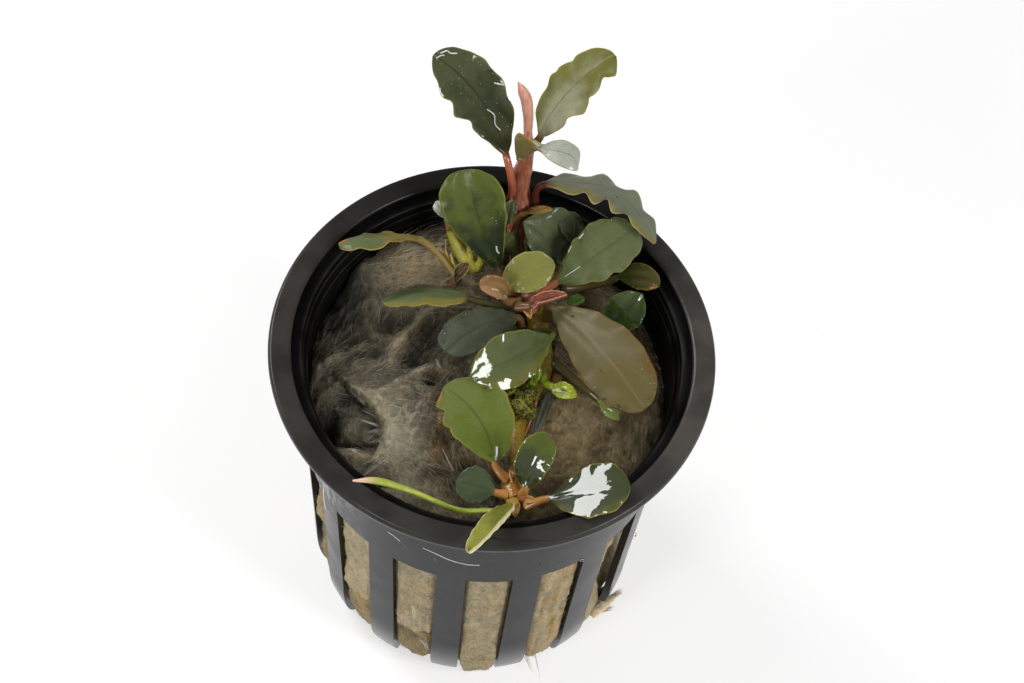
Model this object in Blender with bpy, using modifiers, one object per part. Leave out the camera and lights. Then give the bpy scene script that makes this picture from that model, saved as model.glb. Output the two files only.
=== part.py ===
"""Bucephalandra, a small creeping water plant, in a slotted net pot packed with rock wool.

The pot stands on z = 0 with its axis on +Z, and the front of the plant faces -Y.
All sizes below are millimetres. They become metres where each mesh is made.
"""

import math

import bmesh
import bpy
from mathutils import Vector

MM = 0.001
GAP = 0.35
WELD = 0.00001

# Net pot
POT_HEIGHT = 50.0
LIP_RADIUS = 27.5
LIP_WIDTH = 2.5
LIP_THICKNESS = 1.6
LIP_EDGE_ROUND = 0.4
WALL_TOP_RADIUS = 23.8
WALL_TOP_Z = 47.0
WALL_TAPER = math.radians(3.4)
WALL_THICKNESS = 1.0
FLOOR_THICKNESS = 1.2
FOOT_ROUND_WIDTH = 2.6
FOOT_ROUND_HEIGHT = 10.0
FOOT_ROUND_STEPS = 3
POT_FACETS = 40

# Slots round the pot's wall, which run on round its foot
SLOT_COUNT = 15
SLOT_TOP_Z = 32.0
SLOT_TOP_WIDTH = 5.9
SLOT_FOOT_WIDTH = 5.1
SLOT_INNER_RADIUS = 15.5
FIRST_SLOT_ANGLE = math.radians(7.8)

# Rock wool plug
WOOL_SEGMENTS = 28
WOOL_RINGS = 16
WOOL_TOP_RINGS = 9
WOOL_SIDE_RINGS = 4
WOOL_SHOULDER_Z = 36.0
WOOL_HEEL_Z = 4.0
WOOL_CLEARANCE = 0.5
WOOL_EDGE_DROP = 1.6
WOOL_CENTRE_Z = 42.6
WOOL_LEFT_SLOPE = 0.16
WOOL_STEP_DOWN = 3.2
WOOL_BUMP = 0.45
SLIT_HALF_WIDTH = 2.6

# Rhizome, from its growing front end to the back of the pot
RHIZOME = [
    (4.5, -11.4, 41.9),
    (4.2, -6.6, 41.0),
    (5.1, -1.5, 40.5),
    (6.5, 3.4, 40.9),
    (5.2, 9.0, 42.4),
    (3.1, 13.5, 43.4),
    (1.6, 16.8, 44.2),
]
RHIZOME_RADII = [0.9, 0.9, 1.0, 1.2, 1.25, 1.25, 1.1]
RHIZOME_BED = 1.9
STEM_SIDES = 8

# Moss on the rhizome
MOSS_CENTRE = (4.2, -2.7, 42.6)
MOSS_RADII = (1.8, 1.9, 0.8)

# Leaves
LEAF_THICKNESS = 0.45
PETIOLE_WIDTH = 1.0
PETIOLE_THICKNESS = 0.9
TIP_HALF_WIDTH = 0.12
PETIOLE_ROWS = 2
BLADE_ROWS = 7
BLADE_COLUMNS = 4

# The folded leaf: its near margin, midrib and far margin, from the stem to the tip
FOLDED_LEAF = [
    ((0.5, 21.3, 60.4), (0.8, 21.3, 60.1), (1.1, 21.3, 60.5)),
    ((-0.5, 20.6, 64.8), (0.3, 21.1, 61.0), (0.8, 21.6, 63.4)),
    ((0.0, 20.6, 67.0), (1.1, 21.0, 61.7), (1.7, 22.0, 63.9)),
    ((1.5, 20.5, 65.3), (2.1, 21.1, 62.9), (2.9, 22.2, 62.8)),
    ((3.6, 20.4, 62.6), (4.0, 21.4, 62.8), (4.3, 22.6, 63.2)),
    ((5.3, 19.9, 61.9), (5.6, 21.4, 62.6), (6.0, 23.0, 63.0)),
    ((6.7, 19.8, 61.4), (6.9, 21.2, 62.1), (7.6, 22.4, 62.2)),
    ((7.5, 19.9, 61.2), (7.6, 20.0, 61.3), (7.7, 20.1, 61.4)),
]

DARK_GREEN = (0.055, 0.080, 0.050)
SLATE_GREEN = (0.070, 0.085, 0.070)
GREY_GREEN = (0.130, 0.155, 0.110)
BRIGHT_GREEN = (0.150, 0.220, 0.060)
YELLOW_GREEN = (0.300, 0.320, 0.090)
OLIVE_BROWN = (0.200, 0.180, 0.110)
TAN = (0.420, 0.330, 0.200)
PINK = (0.480, 0.220, 0.170)
RED_BROWN = (0.300, 0.110, 0.070)
ORANGE_BROWN = (0.330, 0.190, 0.080)
LIME = (0.380, 0.480, 0.060)
POT_BLACK = (0.016, 0.016, 0.018)
WOOL_GREY = (0.230, 0.200, 0.150)
MOSS_GREEN = (0.160, 0.220, 0.030)


def start_clean():
    """Remove every object, and make the collections for the plant and its cutters."""
    for thing in list(bpy.data.objects):
        bpy.data.objects.remove(thing)
    for name in ("bucephalandra", "cutters"):
        bpy.context.scene.collection.children.link(bpy.data.collections.new(name))


def add_material(thing, colour, roughness):
    """Give an object its own plain material."""
    material = bpy.data.materials.new(thing.name)
    material.use_nodes = True
    shader = material.node_tree.nodes["Principled BSDF"]
    shader.inputs["Base Color"].default_value = (*colour, 1.0)
    shader.inputs["Roughness"].default_value = roughness
    shader.inputs["Metallic"].default_value = 0.0
    thing.data.materials.append(material)


def add_object(name, data, collection="bucephalandra"):
    thing = bpy.data.objects.new(name, data)
    bpy.data.collections[collection].objects.link(thing)
    return thing


def mesh_from(bm, name):
    """Turn a bmesh in millimetres into a smooth-shaded mesh in metres."""
    bmesh.ops.scale(bm, vec=(MM, MM, MM), verts=bm.verts)
    mesh = bpy.data.meshes.new(name)
    bm.to_mesh(mesh)
    bm.free()
    mesh.shade_smooth()
    return mesh


def smooth_path(points, steps):
    """Points on a Catmull-Rom curve through the given ones, with some steps between each two."""
    corners = [Vector(point) for point in points]
    ends = [2 * corners[0] - corners[1]] + corners + [2 * corners[-1] - corners[-2]]
    path = []
    for i in range(len(corners) - 1):
        p0, p1, p2, p3 = ends[i:i + 4]
        for step in range(steps):
            t = step / steps
            path.append(0.5 * (2 * p1 + (p2 - p0) * t
                               + (2 * p0 - 5 * p1 + 4 * p2 - p3) * t ** 2
                               + (3 * p1 - p0 - 3 * p2 + p3) * t ** 3))
    return path + [corners[-1]]


def outer_radius(z):
    """The pot wall's outer radius at a height."""
    radius = WALL_TOP_RADIUS - (WALL_TOP_Z - z) * math.tan(WALL_TAPER)
    if z < FOOT_ROUND_HEIGHT:
        foot_start = WALL_TOP_RADIUS - (WALL_TOP_Z - FOOT_ROUND_HEIGHT) * math.tan(WALL_TAPER)
        drop = (FOOT_ROUND_HEIGHT - z) / FOOT_ROUND_HEIGHT
        radius = foot_start - FOOT_ROUND_WIDTH * (1 - math.sqrt(max(0.0, 1 - drop ** 2)))
    return radius


def pot_profile():
    """The pot's section, from the middle of its floor up the inside and down the outside."""
    lip_inner = LIP_RADIUS - LIP_WIDTH
    turns = [math.radians(90 * step / FOOT_ROUND_STEPS) for step in range(FOOT_ROUND_STEPS + 1)]
    foot = [FOOT_ROUND_HEIGHT * (1 - math.sin(turn)) for turn in turns]
    inside_foot = [(outer_radius(z) - WALL_THICKNESS, z) for z in foot if z > FLOOR_THICKNESS]
    floor_edge = inside_foot[-1][0] - 1.0
    inside = [(0.0, FLOOR_THICKNESS), (floor_edge, FLOOR_THICKNESS)]
    inside += inside_foot[::-1]
    inside += [
        (outer_radius(WALL_TOP_Z) - WALL_THICKNESS, WALL_TOP_Z),
        (WALL_TOP_RADIUS - 0.1, POT_HEIGHT - LIP_THICKNESS),
        (lip_inner - 0.2, POT_HEIGHT - 0.8),
    ]
    lip_foot = POT_HEIGHT - LIP_THICKNESS
    outside = [
        (lip_inner, POT_HEIGHT),
        (LIP_RADIUS - LIP_EDGE_ROUND, POT_HEIGHT),
        (LIP_RADIUS, POT_HEIGHT - LIP_EDGE_ROUND),
        (LIP_RADIUS, lip_foot + LIP_EDGE_ROUND),
        (LIP_RADIUS - LIP_EDGE_ROUND, lip_foot),
        (outer_radius(lip_foot) + 0.3, lip_foot),
        (outer_radius(WALL_TOP_Z), WALL_TOP_Z),
    ]
    outside += [(outer_radius(z), z) for z in foot]
    return inside + outside + [(0.0, 0.0)]


def add_slot_cutters():
    """One wedge for each slot, a little narrower at the foot."""
    bm = bmesh.new()
    reach = LIP_RADIUS + 2.0
    slope = (SLOT_TOP_WIDTH - SLOT_FOOT_WIDTH) / SLOT_TOP_Z
    for index in range(SLOT_COUNT):
        angle = FIRST_SLOT_ANGLE + index * math.tau / SLOT_COUNT
        outward = Vector((math.sin(angle), -math.cos(angle), 0.0))
        sideways = Vector((math.cos(angle), math.sin(angle), 0.0))
        for vert in bmesh.ops.create_cube(bm, size=2.0)["verts"]:
            radius = reach if vert.co.x > 0 else SLOT_INNER_RADIUS
            z = SLOT_TOP_Z if vert.co.z > 0 else -1.0
            half = (SLOT_FOOT_WIDTH + slope * z) / 2
            side = half if vert.co.y > 0 else -half
            vert.co = outward * radius + sideways * side + Vector((0.0, 0.0, z))
    bmesh.ops.recalc_face_normals(bm, faces=bm.faces)
    cutter = add_object("slot_cutters", mesh_from(bm, "slot_cutters"), "cutters")
    cutter.hide_render = True
    cutter.display_type = "WIRE"
    return cutter


def add_pot():
    """The moulded pot: a turned section, with the slots cut out."""
    bm = bmesh.new()
    corners = [bm.verts.new((radius, 0.0, z)) for radius, z in pot_profile()]
    for start, end in zip(corners, corners[1:]):
        bm.edges.new((start, end))
    pot = add_object("pot", mesh_from(bm, "pot"))
    turn = pot.modifiers.new("turn", "SCREW")
    turn.axis = "Z"
    turn.steps = POT_FACETS
    turn.render_steps = POT_FACETS
    turn.use_merge_vertices = True
    turn.merge_threshold = WELD
    slots = pot.modifiers.new("slots", "BOOLEAN")
    slots.operation = "DIFFERENCE"
    slots.solver = "EXACT"
    slots.object = add_slot_cutters()
    add_material(pot, POT_BLACK, 0.35)


def rhizome_at(y):
    """Where the rhizome's axis crosses a place along the pot: x and z."""
    for (x0, y0, z0), (x1, y1, z1) in zip(RHIZOME, RHIZOME[1:]):
        if y <= y1:
            share = (max(y, y0) - y0) / (y1 - y0)
            return x0 + (x1 - x0) * share, z0 + (z1 - z0) * share
    return RHIZOME[-1][0], RHIZOME[-1][2]


def wool_top(x, y):
    """Height of the wool: a high left lobe, a lower right one and the rhizome's bed between."""
    lobe = 1 / (1 + math.exp(-(x - 3.0) / 1.6))
    height = WOOL_CENTRE_Z + WOOL_LEFT_SLOPE * y - WOOL_STEP_DOWN * lobe
    height += WOOL_BUMP * math.sin(0.55 * x + 0.8) * math.cos(0.47 * y - 0.4)
    centre, axis_z = rhizome_at(y)
    bed = max(0.0, height - (axis_z - RHIZOME_BED))
    return height - bed * math.exp(-((x - centre) / SLIT_HALF_WIDTH) ** 2)


def add_rock_wool():
    """The plug: a ball of wool pressed to the inside of the pot, with a slit across its top."""
    bm = bmesh.new()
    bmesh.ops.create_uvsphere(bm, u_segments=WOOL_SEGMENTS, v_segments=WOOL_RINGS, radius=1.0)
    heel_ring = WOOL_TOP_RINGS + WOOL_SIDE_RINGS
    inset = WALL_THICKNESS + WOOL_CLEARANCE
    for vert in bm.verts:
        ring = round(math.acos(max(-1.0, min(1.0, vert.co.z))) / math.pi * WOOL_RINGS)
        turn = math.atan2(vert.co.y, vert.co.x)
        if ring <= WOOL_TOP_RINGS:
            share = ring / WOOL_TOP_RINGS
            radius = share * (outer_radius(WOOL_SHOULDER_Z) - inset)
            z = wool_top(radius * math.cos(turn), radius * math.sin(turn))
            z -= WOOL_EDGE_DROP * share ** 8
        elif ring <= heel_ring:
            share = (ring - WOOL_TOP_RINGS - 0.5) / (WOOL_SIDE_RINGS - 0.5)
            z = WOOL_SHOULDER_Z + (WOOL_HEEL_Z - WOOL_SHOULDER_Z) * share
            radius = outer_radius(z) - inset
        else:
            share = (WOOL_RINGS - ring) / (WOOL_RINGS - heel_ring)
            radius = share * (outer_radius(WOOL_HEEL_Z) - inset)
            z = FLOOR_THICKNESS + GAP
        vert.co = (radius * math.cos(turn), radius * math.sin(turn), z)
    wool = add_object("rock_wool", mesh_from(bm, "rock_wool"))
    add_material(wool, WOOL_GREY, 1.0)


def add_stem(name, points, radii, colour, steps=3):
    """A round stem along a smooth path, with a radius at each of its points."""
    path = smooth_path(points, steps)
    curve = bpy.data.curves.new(name, "CURVE")
    curve.dimensions = "3D"
    curve.bevel_depth = MM
    curve.bevel_resolution = (STEM_SIDES - 4) // 2
    curve.use_fill_caps = True
    spline = curve.splines.new("POLY")
    spline.points.add(len(path) - 1)
    for index, point in enumerate(path):
        place = index / steps
        low = min(int(place), len(radii) - 2)
        radius = radii[low] + (radii[low + 1] - radii[low]) * (place - low)
        spline.points[index].co = (*(point * MM), 1.0)
        spline.points[index].radius = radius
    stem = add_object(name, curve)
    add_material(stem, colour, 0.5)


def on_curve(start, control, end, t):
    """A point on a quadratic curve, and its direction there."""
    point = (1 - t) ** 2 * start + 2 * t * (1 - t) * control + t ** 2 * end
    direction = (1 - t) * (control - start) + t * (end - control)
    return point, direction.normalized()


def blade_outline(t, belly, point):
    """Half width of a blade along its midrib, 1 at its widest place."""
    rise = point * belly / (1 - belly)
    return (t / belly) ** rise * ((1 - t) / (1 - belly)) ** point


def closer_at_ends(share):
    """Move the places of a row of cuts closer together at both ends."""
    return 0.5 * share + 0.25 * (1 - math.cos(math.pi * share))


def add_leaf(name, colour, foot, base, tip, width, tilt=0, arch=0.6, sweep=0.0, belly=0.58,
             point=0.6, cup=0.2, wave=0.0, waves=3, rows=BLADE_ROWS, columns=BLADE_COLUMNS):
    """A leaf with its petiole, as one thin sheet bent from a grid.

    foot is where the petiole leaves its stem, base is where the blade starts and tip is its end.
    tilt raises the blade's right edge, in degrees. arch and sweep bow the midrib up and to the
    right. belly is how far along the blade is widest, and a low point makes a blunt tip.
    cup bends the margins up, in radians. wave is the height of the ruffles on the margins.
    """
    foot, base, tip = Vector(foot), Vector(base), Vector(tip)
    chord = (tip - base).normalized()
    right = chord.cross(Vector((0.0, 0.0, 1.0))).normalized()
    up = right.cross(chord)
    turn = math.radians(tilt)
    side = right * math.cos(turn) + up * math.sin(turn)
    face = up * math.cos(turn) - right * math.sin(turn)
    middle = (base + tip) / 2 + 2 * arch * face + 2 * sweep * side
    start = (middle - base).normalized()
    bend = base - start * (base - foot).length * 0.5

    bm = bmesh.new()
    bmesh.ops.create_grid(bm, x_segments=PETIOLE_ROWS + rows, y_segments=columns, size=1.0)
    heavy = []
    for vert in bm.verts:
        row = (vert.co.x + 1) / 2 * (PETIOLE_ROWS + rows) - PETIOLE_ROWS
        across = -vert.co.y
        if row < 0:
            spine, along = on_curve(foot, bend, base, 1 + row / PETIOLE_ROWS)
            half = PETIOLE_WIDTH / 2
        else:
            t = closer_at_ends(row / rows)
            spine, along = on_curve(base, middle, tip, t)
            half = width / 2 * blade_outline(t, belly, point)
            half = max(half, PETIOLE_WIDTH / 2 * (1 - 4 * t), TIP_HALF_WIDTH)
        flat = (side - along * side.dot(along)).normalized()
        proud = flat.cross(along)
        share = max(0.0, row / rows)
        bent = cup * min(1.0, 4 * share, half / LEAF_THICKNESS)
        spread, lift = across, 0.0
        if abs(bent * across) > 0.001:
            spread = math.copysign(math.sin(bent * abs(across)) / bent, across)
            lift = (1 - math.cos(bent * across)) / bent
        ruffle = math.sin(math.tau * waves * share + 1.5 * across)
        ruffle *= wave * abs(across) ** 3 * math.sin(math.pi * share)
        vert.co = spine + flat * half * spread + proud * (half * lift + ruffle)
        if row <= 0:
            heavy.append(vert.index)
    count = len(bm.verts)
    leaf = add_object(name, mesh_from(bm, name))
    group = leaf.vertex_groups.new(name="thickness")
    group.add(range(count), LEAF_THICKNESS / PETIOLE_THICKNESS, "REPLACE")
    group.add(heavy, 1.0, "REPLACE")
    sheet = leaf.modifiers.new("sheet", "SOLIDIFY")
    sheet.thickness = PETIOLE_THICKNESS * MM
    sheet.offset = 0.0
    sheet.vertex_group = "thickness"
    add_material(leaf, colour, 0.4)


def add_folded_leaf(name, colour, rows):
    """A leaf folded along its midrib, as one thin sheet through rows of three points."""
    bm = bmesh.new()
    last = len(rows) - 1
    bmesh.ops.create_grid(bm, x_segments=last, y_segments=2, size=1.0)
    for vert in bm.verts:
        row = round((vert.co.x + 1) / 2 * last)
        vert.co = rows[row][1 + round(vert.co.y)]
    leaf = add_object(name, mesh_from(bm, name))
    sheet = leaf.modifiers.new("sheet", "SOLIDIFY")
    sheet.thickness = LEAF_THICKNESS * MM
    sheet.offset = 0.0
    add_material(leaf, colour, 0.4)


def add_stems():
    """The rhizome in its slit, and the shoots that fork from it."""
    add_stem("rhizome", RHIZOME, RHIZOME_RADII, OLIVE_BROWN)
    add_stem("front_shoot", [(4.6, -12.3, 42.4), (4.7, -15.0, 43.5), (4.7, -17.4, 45.0)],
             [1.0, 1.6, 1.0], ORANGE_BROWN)
    add_stem("middle_shoot", [(4.3, 9.7, 44.9), (3.8, 10.0, 46.2), (3.4, 10.2, 47.7)],
             [1.1, 1.1, 0.8], PINK)
    add_stem("back_shoot", [(1.4, 17.9, 45.6), (1.2, 20.5, 48.0), (0.9, 22.2, 51.6),
                            (0.95, 22.7, 56.5), (1.3, 22.7, 60.5)],
             [1.2, 1.2, 1.1, 1.1, 0.8], RED_BROWN)
    add_stem("left_shoot", [(-3.6, 14.0, 45.5), (-5.6, 15.5, 46.8), (-7.1, 17.0, 49.2)],
             [0.8, 0.6, 0.4], YELLOW_GREEN)


def add_back_leaves():
    """The tall shoot's leaves, above the far rim."""
    add_leaf("back_leaf_dark", DARK_GREEN, foot=(-1.3, 22.3, 53.0), base=(-1.5, 21.9, 59.8),
             tip=(-11.7, 29.7, 68.0), width=8.3, tilt=-3, sweep=1.4, point=0.61, cup=0.15,
             wave=0.35, waves=4)
    add_leaf("back_leaf_olive", OLIVE_BROWN, foot=(2.0, 23.5, 60.8), base=(2.6, 24.0, 61.8),
             tip=(10.5, 29.9, 72.0), width=6.2, tilt=-6, sweep=-1.0, belly=0.56, point=0.5,
             cup=0.3, wave=0.5, waves=3)
    add_folded_leaf("back_leaf_folded", GREY_GREEN, FOLDED_LEAF)
    add_leaf("back_leaf_over_rim", GREY_GREEN, foot=(2.9, 21.7, 51.6), base=(4.0, 22.0, 54.6),
             tip=(18.3, 15.7, 53.8), width=4.3, tilt=16, arch=1.4, sweep=-3.2, belly=0.45,
             point=0.6, cup=-0.3, wave=0.6, waves=4, rows=9)
    add_stem("back_leaf_rolled", [(1.0, 24.3, 61.9), (0.8, 24.5, 65.0), (0.4, 24.6, 68.0),
                                  (-0.9, 25.0, 71.0)], [0.5, 0.65, 0.65, 0.2], PINK)
    add_leaf("back_bract_arched", ORANGE_BROWN, foot=(0.9, 18.8, 49.2), base=(1.6, 19.7, 50.7),
             tip=(5.2, 20.5, 51.5), width=1.3, arch=0.7, cup=-0.8, rows=5)


def add_middle_leaves():
    """The leaves of the crown over the middle of the plug."""
    add_leaf("leaf_round", BRIGHT_GREEN, foot=(1.0, 12.6, 45.6), base=(-0.3, 13.1, 47.5),
             tip=(-5.6, 21.2, 57.0), width=9.0, tilt=44, sweep=-0.5, belly=0.70, point=0.42,
             cup=0.25)
    add_leaf("leaf_dark_olive", DARK_GREEN, foot=(5.0, 14.2, 44.8), base=(6.9, 15.6, 46.0),
             tip=(1.8, 18.2, 51.4), width=5.2, tilt=8, arch=0.4, sweep=0.6, belly=0.5, point=0.8)
    add_leaf("leaf_grey_behind", GREY_GREEN, foot=(4.6, 17.8, 45.2), base=(9.5, 19.1, 46.6),
             tip=(6.3, 21.6, 50.6), width=3.0, tilt=-10, arch=0.4, belly=0.6, point=0.5, rows=6)
    add_leaf("leaf_large_grey", GREY_GREEN, foot=(5.2, 11.2, 46.2), base=(6.8, 12.2, 47.6),
             tip=(15.9, 18.2, 53.0), width=7.7, tilt=-4, arch=0.8, sweep=0.4, belly=0.65,
             point=0.46, cup=0.3, wave=0.25, waves=4)
    add_leaf("leaf_olive_right", OLIVE_BROWN, foot=(8.4, 13.4, 44.9), base=(14.2, 14.6, 46.6),
             tip=(19.6, 11.8, 50.4), width=3.3, tilt=-39, arch=0.8, sweep=-0.8, belly=0.64)
    add_leaf("leaf_small_glossy", DARK_GREEN, foot=(8.0, 7.2, 42.6), base=(13.4, 8.5, 43.6),
             tip=(17.8, 12.1, 47.6), width=5.0, tilt=-29, arch=0.8, belly=0.57, point=0.8, cup=0.3)
    add_leaf("leaf_yellow", YELLOW_GREEN, foot=(1.9, 10.9, 46.6), base=(0.4, 10.2, 48.0),
             tip=(6.4, 12.8, 50.4), width=5.1, tilt=-32, arch=0.8, sweep=-0.6, belly=0.55, rows=6)
    add_leaf("leaf_tan_young", TAN, foot=(1.8, 8.5, 47.5), base=(0.6, 8.4, 48.6),
             tip=(-2.6, 8.8, 50.0), width=3.0, tilt=40, arch=0.5, sweep=0.9, belly=0.5,
             point=0.4, cup=0.7, rows=5)
    add_leaf("leaf_narrow_left", GREY_GREEN, foot=(1.9, 9.4, 44.9), base=(-4.0, 9.0, 46.5),
             tip=(-14.4, 6.1, 47.4), width=5.6, tilt=-31, arch=1.0, sweep=0.5, belly=0.42,
             point=0.53, cup=-0.5, wave=0.3)
    add_leaf("leaf_slate", SLATE_GREEN, foot=(3.0, 8.0, 44.4), base=(2.4, 7.6, 45.6),
             tip=(-5.8, 0.3, 47.3), width=5.7, tilt=-1, arch=0.8, sweep=0.6, belly=0.62,
             point=0.36)
    add_leaf("leaf_white_gloss", DARK_GREEN, foot=(5.4, 6.6, 44.2), base=(7.2, 4.8, 46.8),
             tip=(-2.3, -3.9, 49.1), width=6.8, tilt=35, arch=0.9, sweep=-0.2, point=0.69,
             wave=0.2, waves=4)
    add_leaf("leaf_large_olive", OLIVE_BROWN, foot=(6.2, 9.0, 44.9), base=(6.7, 8.7, 47.2),
             tip=(19.2, -6.4, 50.6), width=8.4, tilt=-28, arch=1.0, sweep=-1.0, belly=0.63,
             point=0.49, cup=-0.2, wave=0.2, waves=5, rows=9)
    add_leaf("leaf_pink_sheath", PINK, foot=(3.0, 7.8, 48.0), base=(3.9, 7.8, 48.4),
             tip=(8.3, 9.3, 49.7), width=2.4, arch=0.3, belly=0.4, cup=1.0, rows=5)
    add_leaf("leaf_dark_centre", DARK_GREEN, foot=(1.2, 15.2, 46.2), base=(1.0, 15.8, 46.8),
             tip=(0.2, 17.7, 49.3), width=2.4, tilt=-12, arch=0.3, belly=0.65, point=0.4, rows=5)
    add_leaf("leaf_dark_behind", DARK_GREEN, foot=(2.9, 15.2, 45.8), base=(3.7, 15.6, 46.6),
             tip=(2.8, 18.3, 49.2), width=1.8, tilt=10, arch=0.3, belly=0.6, rows=5)
    add_leaf("leaf_small_centre", SLATE_GREEN, foot=(-1.0, 18.2, 46.8), base=(-0.8, 18.8, 48.6),
             tip=(0.3, 20.1, 53.0), width=2.0, tilt=-21, arch=0.3, belly=0.6, rows=5)
    add_leaf("leaf_lime_small", LIME, foot=(6.8, 0.8, 42.6), base=(7.9, -1.3, 44.8),
             tip=(11.0, -2.8, 45.8), width=2.1, tilt=-19, arch=0.3, belly=0.45, rows=5)
    add_leaf("leaf_green_sprout", LIME, foot=(5.2, -0.2, 42.2), base=(5.5, -0.3, 43.6),
             tip=(6.0, 0.9, 45.5), width=1.4, arch=0.3, rows=4, columns=2)
    add_leaf("leaf_on_wool", SLATE_GREEN, foot=(8.3, 1.9, 40.9), base=(8.1, 0.9, 41.0),
             tip=(6.3, -5.6, 40.2), width=1.6, tilt=10, arch=0.3, rows=6)
    add_leaf("leaf_green_tip", BRIGHT_GREEN, foot=(8.4, 3.8, 41.4), base=(14.0, -0.8, 41.9),
             tip=(16.5, -3.7, 42.6), width=1.9, arch=0.2, rows=4, columns=2)
    add_leaf("leaf_green_bit", BRIGHT_GREEN, foot=(6.9, 10.2, 43.8), base=(8.4, 11.5, 44.4),
             tip=(10.7, 11.8, 45.2), width=1.6, arch=0.2, rows=4, columns=2)


def add_front_leaves():
    """The rosette at the front of the pot."""
    add_leaf("leaf_bright_front", BRIGHT_GREEN, foot=(3.1, -15.0, 45.4), base=(2.0, -13.8, 45.9),
             tip=(-6.4, -5.0, 46.8), width=7.9, tilt=2, arch=0.6, sweep=1.6, belly=0.49,
             point=0.9, cup=0.25)
    add_leaf("leaf_upright_front", DARK_GREEN, foot=(5.9, -17.3, 46.2), base=(6.0, -17.0, 46.8),
             tip=(8.2, -12.4, 51.6), width=4.5, tilt=-2, sweep=-0.5, point=0.38, cup=0.3)
    add_leaf("leaf_round_dark", SLATE_GREEN, foot=(3.1, -17.4, 45.2), base=(2.4, -17.4, 45.4),
             tip=(-2.4, -16.8, 45.8), width=4.8, tilt=7, arch=0.4, belly=0.55, cup=0.25)
    add_leaf("leaf_gloss_front", DARK_GREEN, foot=(6.9, -18.5, 45.8), base=(8.9, -18.4, 47.3),
             tip=(18.2, -17.7, 52.0), width=7.7, tilt=4, arch=1.2, sweep=0.5, belly=0.64,
             wave=0.2)
    add_leaf("leaf_over_front_rim", YELLOW_GREEN, foot=(4.7, -18.7, 46.0), base=(4.5, -21.0, 49.6),
             tip=(0.2, -30.0, 53.2), width=2.9, tilt=-21, arch=0.8, sweep=-0.4, belly=0.53,
             point=0.4, cup=0.5)
    add_stem("leaf_lime_stalk", [(2.2, -19.8, 45.2), (-1.8, -20.8, 46.2), (-7.4, -20.3, 48.4),
                                 (-11.6, -20.8, 50.8), (-14.4, -21.4, 51.3)],
             [0.3, 0.35, 0.35, 0.45, 0.12], LIME)


def add_small_pieces():
    """The left shoot's pale leaf and dead bract, and the moss on the rhizome."""
    add_leaf("leaf_pale_left", GREY_GREEN, foot=(-7.5, 17.7, 49.8), base=(-7.8, 18.1, 50.1),
             tip=(-9.5, 19.8, 50.9), width=2.0, arch=0.3, rows=4, columns=2)
    add_leaf("leaf_left_back", GREY_GREEN, foot=(-6.3, 13.2, 45.6), base=(-11.0, 15.6, 48.4),
             tip=(-20.6, 11.4, 51.2), width=5.2, tilt=-35, arch=1.2, sweep=-1.4, belly=0.62,
             point=0.5, cup=-0.3)
    add_leaf("bract_dead_left", ORANGE_BROWN, foot=(-6.0, 11.7, 45.2), base=(-5.8, 12.0, 45.6),
             tip=(-4.4, 13.6, 47.3), width=1.8, arch=0.3, cup=0.8, rows=4)
    bm = bmesh.new()
    bmesh.ops.create_icosphere(bm, subdivisions=2, radius=1.0)
    for vert in bm.verts:
        lump = 1 + 0.12 * math.sin(9 * vert.co.x) * math.cos(8 * vert.co.y)
        spread = [size * place * lump for size, place in zip(MOSS_RADII, vert.co)]
        vert.co = Vector(MOSS_CENTRE) + Vector(spread)
    add_material(add_object("moss_tuft", mesh_from(bm, "moss_tuft")), MOSS_GREEN, 0.9)


start_clean()
add_pot()
add_rock_wool()
add_stems()
add_back_leaves()
add_middle_leaves()
add_front_leaves()
add_small_pieces()
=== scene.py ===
# %% [markdown]
# A potted bucephalandra, lesson plan. The plant is a small aroid that creeps over wet stones, and
# it is sold in a slotted net pot packed with rock wool. The solids of the pot, the wool, the stems
# and each leaf are already made and serve as a fixed frame. This lesson gives every one of them its
# fine shape and its finish. All sizes below are in millimetres, and they become metres in each
# mesh.

# %% Load the frame
import math

import bmesh
import bpy
import numpy as np
from mathutils import Matrix, Vector, noise


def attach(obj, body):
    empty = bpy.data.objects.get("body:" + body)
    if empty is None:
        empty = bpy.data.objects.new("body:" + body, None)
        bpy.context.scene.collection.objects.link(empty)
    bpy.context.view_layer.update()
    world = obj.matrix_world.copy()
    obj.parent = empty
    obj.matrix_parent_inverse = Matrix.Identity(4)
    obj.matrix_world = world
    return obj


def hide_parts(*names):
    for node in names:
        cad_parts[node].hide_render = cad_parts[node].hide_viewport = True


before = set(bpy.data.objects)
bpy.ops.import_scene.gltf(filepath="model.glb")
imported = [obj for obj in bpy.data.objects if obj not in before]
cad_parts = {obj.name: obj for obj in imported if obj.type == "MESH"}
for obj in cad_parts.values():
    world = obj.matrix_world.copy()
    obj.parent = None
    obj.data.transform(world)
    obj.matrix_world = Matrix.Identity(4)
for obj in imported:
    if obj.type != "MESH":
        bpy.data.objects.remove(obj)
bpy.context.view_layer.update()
print("solids in the frame:", len(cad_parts))

# %% [markdown]
# A few small helpers serve the whole lesson. Colours are picked as sRGB hex codes, but shaders work
# in linear light, so one function converts them. One function adds a node of any kind to any tree,
# with its settings and links, so that a tree reads as a list of steps. The others make mesh objects
# from points, keep marks on them, and hand a finished piece over to the frame.

# %% Helpers for colours, nodes and meshes
MM = 0.001


def colour(code):
    """An sRGB hex colour as the linear colour that a shader takes."""
    parts = [int(code[i:i + 2], 16) / 255 for i in (1, 3, 5)]
    linear = [p / 12.92 if p <= 0.04045 else ((p + 0.055) / 1.055) ** 2.4 for p in parts]
    return (*linear, 1.0)


def plug(tree, node, inputs):
    """Give a node's sockets, by name or number, a value, a hex colour or another node's output."""
    for key, value in dict(inputs).items():
        if isinstance(value, bpy.types.NodeSocket):
            tree.links.new(value, node.inputs[key])
        else:
            is_code = isinstance(value, str) and value.startswith("#")
            node.inputs[key].default_value = colour(value) if is_code else value


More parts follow.
